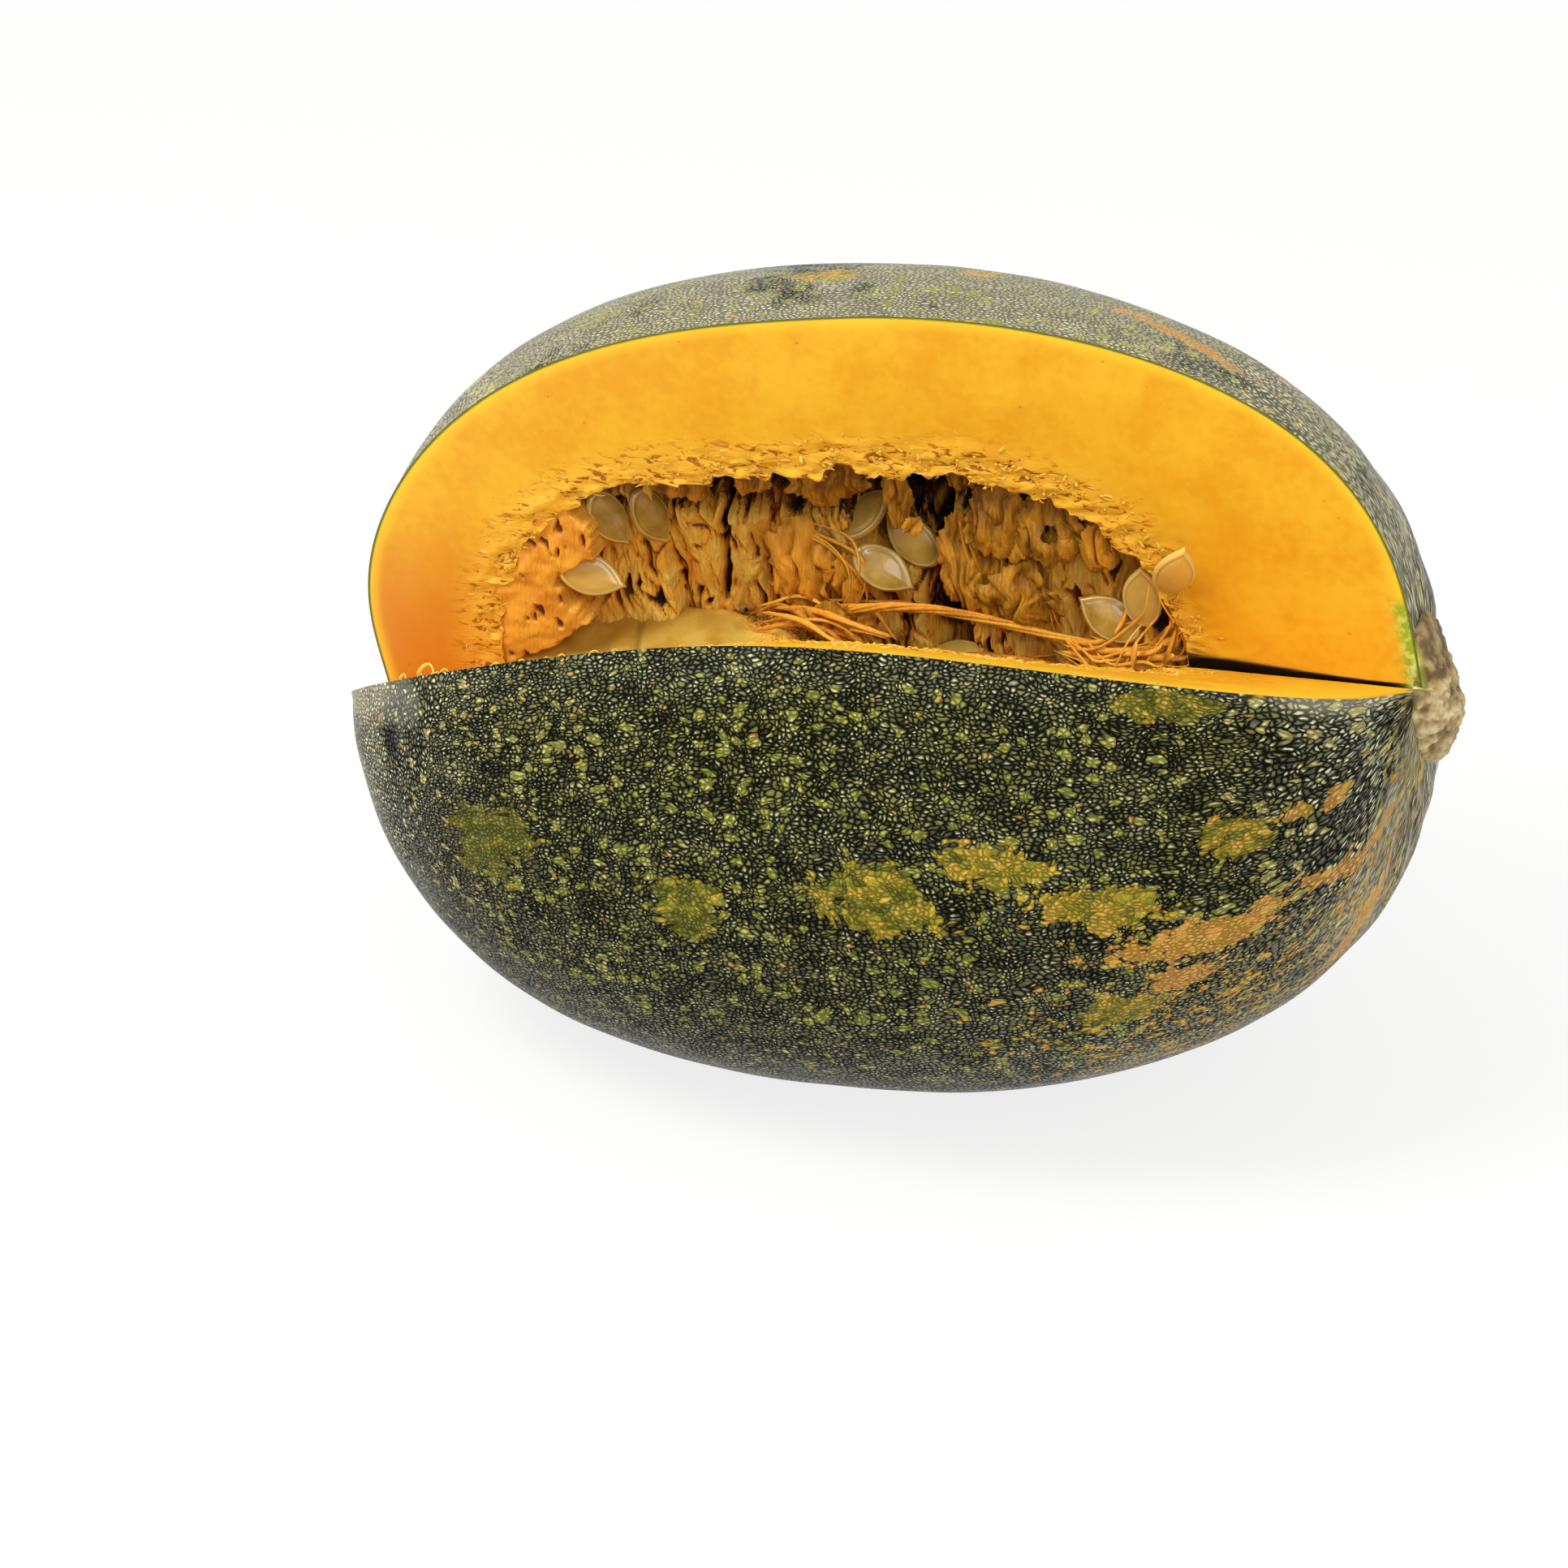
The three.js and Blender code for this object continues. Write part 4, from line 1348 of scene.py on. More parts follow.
    def depths(self, theta: Array, points: Array, rind: Array) -> dict[str, Array]:
        """The depths that colour the flesh, several of them as painted shade.

        Args:
            theta: Row angles.
            points: All points, rows by columns by three.
            rind: Points of the rind alone.

        Returns:
            Numbers by name, rows by columns each.
        """
        rows, columns = points.shape[:2]
        wall = self.rind_columns + self.face_columns
        forward = wall + self.hollow_columns
        on_wall = np.zeros((rows, columns))
        on_wall[:, wall + 1 : forward] = 1
        along, up, back = np.moveaxis(FORM.to_cut(points), -1, 0)
        from_edge = np.hypot(np.hypot(along, up), back)
        off_rind = np.linalg.norm(points - rind[:, -1:], axis=-1)
        off_rind[:, forward:] = 0.8 + 0.1 * np.linalg.norm(points[:, forward:] - rind[:, :1], axis=-1)
        slope = [FORM.rind_level(rind[:, 0] + a) - FORM.rind_level(rind[:, 0] - a) for a in 0.5 * np.eye(3)]
        normal = unit(np.stack(slope, axis=-1))
        slant = np.abs((FORM.cut_ray(theta, FORM.front_angle(theta)) * normal).sum(-1))
        under = off_rind * slant[:, None]
        off_edge = from_edge * np.sin(theta)[:, None] / np.where(back < 0, 1, 1.6)
        by_stem = 5 * smoothstep(along, 44, 64) * fade(up, 10, 26)
        green = fade(up / 13 + 0.12 * rough(points, 6, 40), 0.7, 1.05)
        green = green * fade(under + 0.6 * rough(points, 5, 41), 2.6, 5)
        return {
            "under_rind": under,
            "off_hollow": by_stem - FORM.depth_under(FORM.hollow_level, points),
            # painted shade along the hollow's wall, deep in it and in the knife's slit
            "wall": on_wall * smoothstep(np.abs(back), 0.5, 5),
            "deep": on_wall * smoothstep(np.abs(back), 2.5, 11),
            "slit": self.slit(theta, from_edge, off_edge),
            "spread": np.hypot(up, back) / FORM.belly_radius,
            # orange tint with painted shade, low towards the blossom end of the rear face
            "ripened": smoothstep(-along, 70, 125) * fade(up, 0, 42),
            "stem_green": green * ((along > 100) & (back > -0.5)),
        }

    def build(self, rind: Material, flesh: Material) -> None:
        """Makes the body in place of the CAD body.

        Args:
            rind: Finish of the rind.
            flesh: Finish of the cut faces and the hollow.
        """
        piece = self.shell().piece("squash_skin_and_flesh", [rind, flesh], self.sharp_edge)
        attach(piece, "root")
        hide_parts("squash_body")


# ==== Seeds ====


@dataclass(frozen=True)
class SeedPlace:
    """Where one seed lies: its middle, the way its tip points and the way its face looks,
    all as [along the edge, up the rear plane, behind it], and the share of it that is stained,
    which also paints shade on some seeds and light on others."""

    at: Triple
    tip: Triple
    face: Triple
    stain_and_shade: float = 0.6


@dataclass(frozen=True)
class BeddedRow:
    """A row of seeds that lies on the pulp bed in front of the cut's edge."""

    behind: float
    first: float
    last: float
    count: int


HANGING_SEEDS = (
    SeedPlace((-81, 14, 4), (0.9, -0.4, 0.1), (0.1, 0.45, -1), 0.35),
    SeedPlace((-76, 27, 9), (0.35, -0.9, 0.1), (1.1, 0.35, -0.85), 0.8),
    SeedPlace((-67, 25, 13.5), (0.3, -0.95, 0.1), (1.1, 0.25, -0.85), 0.9),
    SeedPlace((-27, 13, 16), (0.15, 1, 0.1), (0.8, 0.1, -0.7)),
    SeedPlace((-14, 23, 19), (0.75, 0.6, 0.2), (-0.3, 0.9, -0.6)),
    SeedPlace((-4, 16, 19), (-0.6, 0.5, 0.2), (0.1, 0.3, -1)),
    SeedPlace((-10, 11, 13), (0.8, -0.55, -0.1), (0.1, 0.6, -0.8), 0.7),
    SeedPlace((9, 12, 19), (0.1, 1, 0), (-0.5, 0.1, -0.9)),
    SeedPlace((46, 2, 7), (-0.8, 0.55, 0.1), (0.15, 0.5, -0.9), 1),
    SeedPlace((56, 10, 4), (0.1, 1, 0), (0, 0.2, -1), 0.45),
    SeedPlace((67, 21, -3.4), (0.45, 0.9, -0.25), (0.3, -0.1, -1), 0.1),
    SeedPlace((2, -17, 18), (0.9, 0.2, 0.2), (0, 1, -0.4)),
    SeedPlace((14, -21, 17), (-0.8, 0.1, 0.5), (0.1, 1, -0.5)),
)
BEDDED_ROWS = (BeddedRow(-13, -74, 46, 6), BeddedRow(-30, -62, 40, 5))


def bedded_seeds() -> list[SeedPlace]:
    """Places of the seeds in the rows, each turned a little further than the last.

    Returns:
        The places, row by row.
    """
    places = []
    for number, row in enumerate(BEDDED_ROWS):
        for index in range(row.count):
            along = row.first + (row.last - row.first) * index / (row.count - 1)
            behind = row.behind + 2.5 * math.sin(2.4 * index + number)
            heading = 2.4 * index + 1.1 * number
            height = float(PulpBed().height(np.array(along), np.array(behind))) + 0.6
            tip = (math.cos(heading), 0.15, math.sin(heading))
            places.append(SeedPlace((along, height, behind), tip, (0.25 * math.sin(heading), 1, 0.35)))
    return places


@dataclass
class Seeds:
    """Flat pointed seeds with a raised rim round a softly domed face."""

    length: float = 17
    width: float = 10.4
    thickness: float = 3.4
    tip_narrowing: float = 0.42
    steps_round: int = 44
    steps_across: int = 11

    def shell(self, number: int, place: SeedPlace) -> Shell:
        """One seed at its place.

        The outline is an oval that narrows to a nib at the tip. Across the face the height
        follows a dome, dips to a groove near the edge, rises to the rim and falls to zero.

        Args:
            number: Number of the seed, which varies its size and its bend.
            place: Where it lies.

        Returns:
            The seed as a closed shell, with how far each point stands on the rim.
        """
        source = np.random.default_rng(900 + number)
        size = source.uniform(0.93, 1)
        turn = np.linspace(0, TURN, self.steps_round + 1)[:, None]
        share = np.sin(np.linspace(0, 0.5 * math.pi, self.steps_across))[None, :]
        cosine, sine = np.cos(turn), np.sin(turn)
        narrowing = 1 - self.tip_narrowing * np.maximum(cosine, 0) ** 2
        nib = 0.9 * bell((turn + math.pi) % TURN, math.pi, 0.16)
        length = (self.length / 2 * cosine + nib - 0.4) * share
        width = self.width / 2 * sine * narrowing * share
        dome = 1 - 0.45 * share**2.2
        rim, groove = bell(share, 0.88, 0.045), bell(share, 0.79, 0.05)
        edge = np.sqrt(np.clip(1 - share**10, 0, 1))
        wrinkle = 0.05 * grain(stacked(length, width, number), 1.8, 70)
        height = self.thickness / 2 * (dome + 0.16 * rim - 0.14 * groove + wrinkle) * edge * 0.92
        bend = 0.012 * source.uniform(-1, 1) * length**2
        sides = []
        for side in (1, -1):
            local = stacked(length, width, side * height + bend) * size
            sides.append(self.placed(local, place))
        rims = np.broadcast_to(0.4 + 0.6 * rim - 0.4 * groove, height.shape)
        shell = closed_sheet(sides[0], sides[1], rim=rims)
        shell.points[len(shell.points) // 2 :] = sides[1].reshape(-1, 3)
        # the seed's stain share, which also carries painted shade and light
        shell.values["tone"] = np.full(len(shell.points), place.stain_and_shade + source.uniform(-0.1, 0.1))
        return shell

    def placed(self, local: Array, place: SeedPlace) -> Array:
        """Points of the seed's own frame (x to the tip, z out of its face) at its place.

        Args:
            local: Points in the seed's frame.
            place: Where it lies.

        Returns:
            Points in the squash's frame.
        """
        tip, face = (unit(np.asarray(v, float) @ FORM.cut_axes) for v in (place.tip, place.face))
        across = unit(np.cross(face, tip))
        return FORM.at_cut(place.at) + local @ np.stack([tip, across, np.cross(tip, across)])

    def build(self, coat: Material) -> None:
        """Makes every seed in place of its CAD seed.

        Args:
            coat: Finish of the seeds.
        """
        for number, place in enumerate([*HANGING_SEEDS, *bedded_seeds()], start=1):
            piece = self.shell(number, place).piece(f"seed_{number:02d}_coat", [coat])
            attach(piece, "root")
            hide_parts(f"seed_{number:02d}")


# ==== Pulp: the bed in the bottom of the hollow and the masses that hang behind the cut ====


def inside_hollow(points: Array, gap: float | Array) -> Array:
    """Points pulled towards the hollow's middle where they stand less than gap from its wall.

    Args:
        points: The points.
        gap: Clearance in mm, one or one for each point.

    Returns:
        Points that stand clear of the wall.
    """
    middle = np.asarray(FORM.hollow_middle)
    offset = points - middle
    distance = np.linalg.norm(offset, axis=-1, keepdims=True)
    limit = FORM.reach(FORM.hollow_level, middle, unit(offset))[..., None] - gap
    return middle + offset * np.minimum(1, limit / np.maximum(distance, 1e-6))


@dataclass
class PulpBed:
    """The bed of pulp: strings and pits to the stem, a smooth pale pad to the blossom end."""

    blossom_height: float = -15
    stem_height: float = -29
    step: Pair = (-24, 14)
    front_rise: float = 0.4
    front_start: float = 9
    pad_at: Pair = (-58, 14)
    pad_half: Pair = (32, 17)
    pad_rise: float = 8
    cushion_at: Pair = (-75, 0)
    cushion_half: Pair = (36, 26)
    rows: int = 210
    columns: int = 90

    def height(self, along: Array, behind: Array) -> Array:
        """Height of the bed over the cut's level, as in the CAD source.

        Args:
            along: Distances along the edge.
            behind: Distances behind it.

        Returns:
            Heights in the rear plane.
        """
        level = mix(self.blossom_height, self.stem_height, smoothstep(along, *self.step))
        front = self.front_rise * np.maximum(-behind - self.front_start, 0)
        pad = fade(oval(along, behind, self.pad_at, self.pad_half), 0.55, 1.1)
        return level + front + self.pad_rise * pad

    def shell(self) -> Shell:
        """The bed as a closed shell: its stringy top, and its underside along the wall.

        Returns:
            The shell, with its pad and the painted shade of its pits.
        """
        along = np.linspace(-104, 64.5, self.rows)[:, None]
        level = self.height(along, np.zeros_like(along))
        start = FORM.at_cut(stacked(along, level, 0))
        back_ray = np.broadcast_to(FORM.cut_axes[2], start.shape)
        to_back = FORM.reach(FORM.hollow_level, start, back_ray) - 1
        to_front = FORM.reach(FORM.hollow_level, start, -back_ray) - 1
        behind = mix(-to_front, to_back, np.linspace(0, 1, self.columns)[None, :])
        along, behind = np.broadcast_arrays(along, behind)
        flat = stacked(along, behind, 0)
        off = oval(along, behind, self.cushion_at, self.cushion_half)
        pad = fade(off + 0.08 * grain(flat, 12, 90), 0.8, 1.02)
        cushion = -9 + 0.24 * np.maximum(behind, 0) + 0.7 * rough(flat, 14, 91, 2)
        strings = 1.7 * rough(flat, (11, 4.5, 1), 93) + 0.8 * grain(flat, (5, 1.3, 1), 96)
        crease = bell(along + 0.12 * behind + 0.8 * grain(flat, 6, 92), -74, 0.6) * pad
        up = mix(self.height(along, behind) + strings, cushion + 0.1 * strings, pad) - 1.4 * crease
        points = inside_hollow(FORM.at_cut(stacked(along, up, behind)), 0.9)
        down = np.broadcast_to(-FORM.cut_axes[1], points.shape)
        fall = np.maximum(FORM.reach(FORM.hollow_level, points, down) - 0.9, 0.05)
        under = points + fall[..., None] * down
        # painted shade: darker between the strings, in the crease and towards the stem
        shaded = 0.6 + 0.2 * smoothstep(along, -35, -5)
        pit = np.clip(shaded - 0.25 * strings, 0, 1) * (1 - pad) + 0.8 * crease
        return closed_sheet(points, under, pad=pad, pit=pit, flush=np.zeros_like(pit))

    def build(self, pulp: Material) -> None:
        """Makes the bed in place of the CAD bed.

        Args:
            pulp: Finish of the pulp.
        """
        piece = self.shell().piece("pulp_bed_strings", [pulp])
        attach(piece, "root")
        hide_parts("pulp_bed")


@dataclass(frozen=True)
class HangingMass:
    """One mass of pulp on the rear wall, by its stretch of the edge and its front."""

    node: str
    start: float
    end: float
    low: float
    high: float
    foot_behind: float
    top_behind: float
    ridge: float


@dataclass
class HangingPulp:
    """Masses of pulp whose fronts are drawn out in upright folds, with slits between.

    At the blossom end the tissue is left flush with the cut as far as a torn edge, with a
    recess round the seed there. The edge's places are given as heights and distances along.
    """

    masses: tuple[HangingMass, ...] = (
        HangingMass("pulp_blossom_end", -110, -66, -40, 37, 15, 12, 0.4),
        HangingMass("pulp_curtain_blossom", -66.5, 1, -40, 29, 23, 14, 1.2),
        HangingMass("pulp_curtain_stem", 8, 53, -40, 30, 16, 12, 1.6),
        HangingMass("pulp_stem_end", 53.6, 66, -14, 15, 4, 9, 0.8),
    )
    flute_spacing: float = 13
    fine_step: float = 0.36
    up_steps: int = 130
    slit_at: float = -52
    slit_lean: float = 0.22
    pocket_at: Pair = (-6, 19)
    pocket_half: Pair = (12, 11)
    first_seed: int = 110
    seed_step: int = 20
    torn_heights: tuple[float, ...] = (-11, -8, -5, 2, 8, 15, 20, 27, 37)
    torn_edge: tuple[float, ...] = (-108, -102, -93, -83, -88, -88, -79, -77, -83)

    def relief(self, along: Array, up: Array, seed: int) -> tuple[Array, Array]:
        """Depth of the folds, and the painted shade of each point as it lies in a pit.

        A fold is rounded and the valley to the next is sharp: a valley runs where a long
        upright grain crosses zero. Broad folds, strings and hairs are three such grains. A
        patchy mask ends the valleys, so the folds join here and there.

        Args:
            along: Distances along the edge.
            up: Heights over it.
            seed: Number that picks the pattern.

        Returns:
            Depths in mm, and pits from 0 to 1.
        """
        flat = stacked(along, up, 0)
        bent = flat.copy()
        bent[..., 0] += 4 * grain(flat, (18, 26, 1), seed)
        bent[..., 0] += 1.6 * grain(flat, (5, 8, 1), seed + 1)
        bent[..., 1] += 3 * grain(flat, (9, 12, 1), seed + 2)
        patchy = smoothstep(grain(flat, (6, 12, 1), seed + 3), -0.35, 0.25)
        broad = (1 - np.abs(grain(bent, (6.5, 26, 1), seed + 4))) ** 12 * patchy
        string = (1 - np.abs(grain(bent, (3, 14, 1), seed + 5))) ** 8 * mix(1, patchy, 0.5)
        hair = (1 - np.abs(grain(bent, (1.5, 8, 1), seed + 6))) ** 3
        swell = grain(bent, (9, 16, 1), seed + 7)
        tears = grain(bent, (2.2, 8, 1), seed + 15) + 0.4 * grain(flat, (9, 9, 1), seed + 16)
        tears = smoothstep(tears, 0.36, 0.6)
        line = self.slit_at + self.slit_lean * (up - 12) + 0.6 * grain(flat, (50, 5, 1), seed + 8)
        knife = bell(along, line, 0.7) * smoothstep(up, -6, 0)
        depth = 3 * broad + 1.3 * string + 0.8 * hair - 0.8 * swell + 8 * knife + 3 * tears
        # painted shade in the valleys, the tears and the knife's slit
        pit = 0.04 + 0.9 * broad + 0.6 * string + 0.15 * hair - 0.15 * swell + knife + 0.9 * tears
        return depth, np.clip(pit, 0, 1)

    def shell(self, mass: HangingMass, seed: int) -> Shell:
        """One mass as a closed shell, from its folded front back to the hollow's wall.

        Args:
            mass: The mass.
            seed: Number that picks its pattern.

        Returns:
            The shell, with the painted shade of its pits and its flush tissue.
        """
        count = max(int((mass.end - mass.start) / self.fine_step), 24)
        along = np.linspace(mass.start, mass.end, count)[:, None]
        share = np.linspace(0, 1, self.up_steps)[None, :]
        low = np.maximum(PulpBed().height(along, np.full_like(along, mass.foot_behind)) - 4, mass.low)
        flat = stacked(along, 0, 0)
        ragged = 4.5 * rough(flat, 8, seed + 9) + 2 * grain(flat, 2, seed + 10)
        up = mix(low, mass.high + 1.5 * np.sin(along / 6) + ragged, share)
        along = np.broadcast_to(along, up.shape)
        depth, pit = self.relief(along, up, seed)
        flute = mass.ridge * np.cos(TURN * along / self.flute_spacing)
        crest = smoothstep(share + 0.03 * rough(flat, 6, seed + 18), 0.86, 0.98)
        pocket = oval(along, up, self.pocket_at, self.pocket_half) + 0.2 * grain(flat, 3, seed + 19)
        pocket = np.maximum(fade(pocket, 0.6, 1.05), 0.8 * bell(along, 3.5, 5.5) * fade(up, 26, 34))
        behind = mix(mass.foot_behind, mass.top_behind, share) + flute + 8 * crest + 9 * pocket + depth
        # the crest and the recess round the seed are pushed back and painted dark as shade
        pit = np.clip(pit + 0.6 * crest + 0.5 * pocket, 0, 1)
        places = stacked(along, up, 0)
        edge = np.interp(up, self.torn_heights, self.torn_edge) + 1.6 * rough(places, 4, seed + 11)
        flush = fade(along - edge, -1.2, 1.6)
        slits = grain(places, (1.8, 4.5, 1), seed + 12) + 0.6 * grain(places, 7, seed + 13)
        slits = smoothstep(slits, 0.38, 0.62)
        level = 0.4 + 0.5 * rough(places, (6, 5, 1), seed + 14, 2) + 1.8 * slits
        level = level + 1.2 * fade(along, -110, -105.5)
        behind = mix(behind, level, flush)
        # the slits of the flush tissue are painted dark as shade
        pit = mix(pit, np.clip(0.3 + 0.6 * slits, 0, 1), flush)
        orange = np.maximum(flush, 0.6 * smoothstep(grain(places, (15, 11, 1), seed + 17), -0.1, 0.5))
        gap = mix(1.2, -2.5, flush)[..., None]
        front = inside_hollow(FORM.at_cut(stacked(along, up, behind)), gap)
        ray = np.broadcast_to(FORM.cut_axes[2], front.shape)
        back = np.maximum(FORM.reach(FORM.hollow_level, front, ray) - 1, 0.3)
        rear = front + back[..., None] * ray
        return closed_sheet(front, rear, pit=pit, flush=orange, pad=np.zeros_like(pit))

    def build(self, pulp: Material) -> None:
        """Makes every mass in place of its CAD node.

        Args:
            pulp: Finish of the pulp.
        """
        for mass, seed in zip(self.masses, itertools.count(self.first_seed, self.seed_step)):
            piece = self.shell(mass, seed).piece(f"{mass.node}_strings", [pulp])
            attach(piece, "root")
            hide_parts(mass.node)


# ==== Loose strings, films and torn tissue ====


@dataclass(frozen=True)
class Patch:
    """A small region that strings start or end in: its middle and its half sizes, in mm."""

    middle: Triple
    half: Triple


@dataclass(frozen=True)
class Bundle:
    """A bundle of strings from one region to another, in the cut's directions.

    The strings keep their order, so a wide start fans into a narrow end. Radius and tone are
    ranges, sway is a share of the length, and arch is the bow's height in the middle.
    """

    name: str
    count: int
    start: Patch
    end: Patch
    radius: Pair
    sway: float
    tone: Pair
    arch: Triple = (0, 0, 0)
    flat: float = 0.45
    steps: int = 20


@dataclass
class PulpStrings:
    """Loose strings of pulp: curtains, bundles, and the thick one that crosses the hollow."""

    bundles: tuple[Bundle, ...] = (
        Bundle("bundle_round_seed", 6, Patch((-34, 22, 14), (4, 3, 1)), Patch((-22, -1, 11), (4, 3, 2)),
               (0.25, 0.6), 0.13, (0.6, 1), (9, 3, -1), 0.4),
        Bundle("bundle_foot", 12, Patch((-40, -3, 14), (7, 3, 3)), Patch((-14, -8, 9), (7, 3, 3)),
               (0.45, 1.35), 0.16, (0.5, 1), (0, 4, -1)),
        Bundle("ochre_curtain_strings", 7, Patch((13, 28, 11), (5, 3, 1.5)), Patch((11, -3, 11), (5, 2, 2)),
               (0.25, 0.7), 0.13, (0.3, 0.9), (3, 0, -1)),
        Bundle("stem_curtain_strings", 5, Patch((34, 26, 11), (15, 4, 1.5)), Patch((32, -4, 12), (15, 3, 2)),
               (0.3, 0.9), 0.07, (0.1, 0.6)),
        Bundle("bright_strings_stem", 13, Patch((36, -5, 7), (5, 2, 2)), Patch((63, 6, 2.5), (3, 6, 2)),
               (0.4, 1.5), 0.22, (0.7, 1), (4, -7, -2)),
        Bundle("bright_strings_low", 12, Patch((38, -4, 6), (4, 2, 2)), Patch((60, -5, 4), (6, 3, 2)),
               (0.3, 0.9), 0.2, (0.7, 1), (0, -4, -2)),
        Bundle("stem_wall_strings", 12, Patch((65, 11, 3), (2, 7, 2)), Patch((53, -6, 4), (7, 3, 2)),
               (0.3, 0.9), 0.18, (0.6, 1), (4, -4, 0)),
        Bundle("bed_strings_stem", 70, Patch((-8, -20, 2), (18, 3, 16)), Patch((44, -24, 4), (16, 3, 14)),
               (0.4, 1.2), 0.1, (0.1, 0.7), (0, 4, 0)),
        Bundle("bed_strings_front", 60, Patch((-60, -12, -20), (30, 2, 12)),
               Patch((10, -16, -22), (34, 3, 12)), (0.4, 1.1), 0.08, (0.2, 0.7), (0, 3, 0)),
    )
    crossing_route: tuple[Triple, ...] = (
        (-24, 0, 12), (-16, 3, 8), (-6, 5, 6), (6, 4, 6), (20, 0, 7), (34, -5, 8), (46, -7, 8)
    )
    crossing_strings: int = 5
    first_seed: int = 300

    def shell(self, bundle: Bundle, seed: int) -> Shell:
        """All strings of one bundle as one shell.

        Args:
            bundle: The bundle.
            seed: Number that picks its strings.

        Returns:
            The shell, with each string's tone.
        """
        source = np.random.default_rng(seed)
        place = source.uniform(-1, 1, (bundle.count, 3))
        drift = source.uniform(-1, 1, (bundle.count, 3))
        start = np.asarray(bundle.start.middle) + place * np.asarray(bundle.start.half)
        end = np.asarray(bundle.end.middle) + (0.8 * place + 0.35 * drift) * np.asarray(bundle.end.half)
        paths = wandering(start, end, bundle.steps, bundle.sway, source)
        share = np.linspace(0, 1, bundle.steps)[None, :, None]
        paths = paths + 4 * share * (1 - share) * np.asarray(bundle.arch, float)
        radius = mix(bundle.radius[0], bundle.radius[1], source.random(bundle.count) ** 2.2)
        lumps = 1 + 0.3 * rough(paths + 9 * np.arange(bundle.count)[:, None, None], 3, seed, 2)
        taper = np.sin(math.pi * np.linspace(0.03, 0.97, bundle.steps)) ** 0.35
        radii = radius[:, None] * np.clip(lumps, 0.5, 1.6) * taper
        tone = mix(bundle.tone[0], bundle.tone[1], source.random(bundle.count))
        laid = inside_hollow(FORM.at_cut(paths), 0.4)
        return strands(laid, radii, 6, bundle.flat, 1.2, tone=tone)

    def crossing(self) -> Shell:
        """The thick string that crosses the hollow: thin strings twisted about one route.

        The route runs straight between its points and is then smoothed by a running mean.

        Returns:
            The shell, with each string's tone.
        """
        count, steps, window = self.crossing_strings, 60, 9
        route = np.array(self.crossing_route, float)
        at = np.linspace(0, len(route) - 1, steps)
        straight = np.stack([np.interp(at, np.arange(len(route)), column) for column in route.T], axis=-1)
        padded = np.pad(straight, ((window // 2, window // 2), (0, 0)), "edge")
        mean = np.ones(window) / window
        smooth = np.stack([np.convolve(column, mean, "valid") for column in padded.T], axis=-1)
        phase = TURN * np.arange(count)[:, None] / count + np.linspace(0, 9, steps)[None, :]
        off = stacked(0, 0.75 * np.cos(phase), 0.45 * np.sin(phase))
        laid = FORM.at_cut(smooth[None] + off)
        radii = 0.62 * np.sin(math.pi * np.linspace(0.02, 0.98, steps)) ** 0.3
        return strands(laid, radii[None, :], 7, 0.85, 0, tone=np.linspace(0.35, 0.85, count))

    def build(self, string: Material) -> None:
        """Makes every bundle, and the crossing string in place of the CAD strand.

        Args:
            string: Finish of the strings.
        """
        for seed, bundle in enumerate(self.bundles, start=self.first_seed):
            piece = self.shell(bundle, seed).piece(bundle.name, [string])
            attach(piece, "root")
        piece = self.crossing().piece("crossing_strand_twisted", [string])
        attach(piece, "root")
        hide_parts("crossing_strand")


@dataclass(frozen=True)
class Film:
    """A rounded patch of dried tissue: its middle and half sizes in the cut's directions,
    how far it leans back over its height, and the share of it that is a hole."""

    name: str
    middle: Triple
    half: Pair
    belly: float
    lean: float = 0.15
    hole: float = 0
    tone: float = 0.4


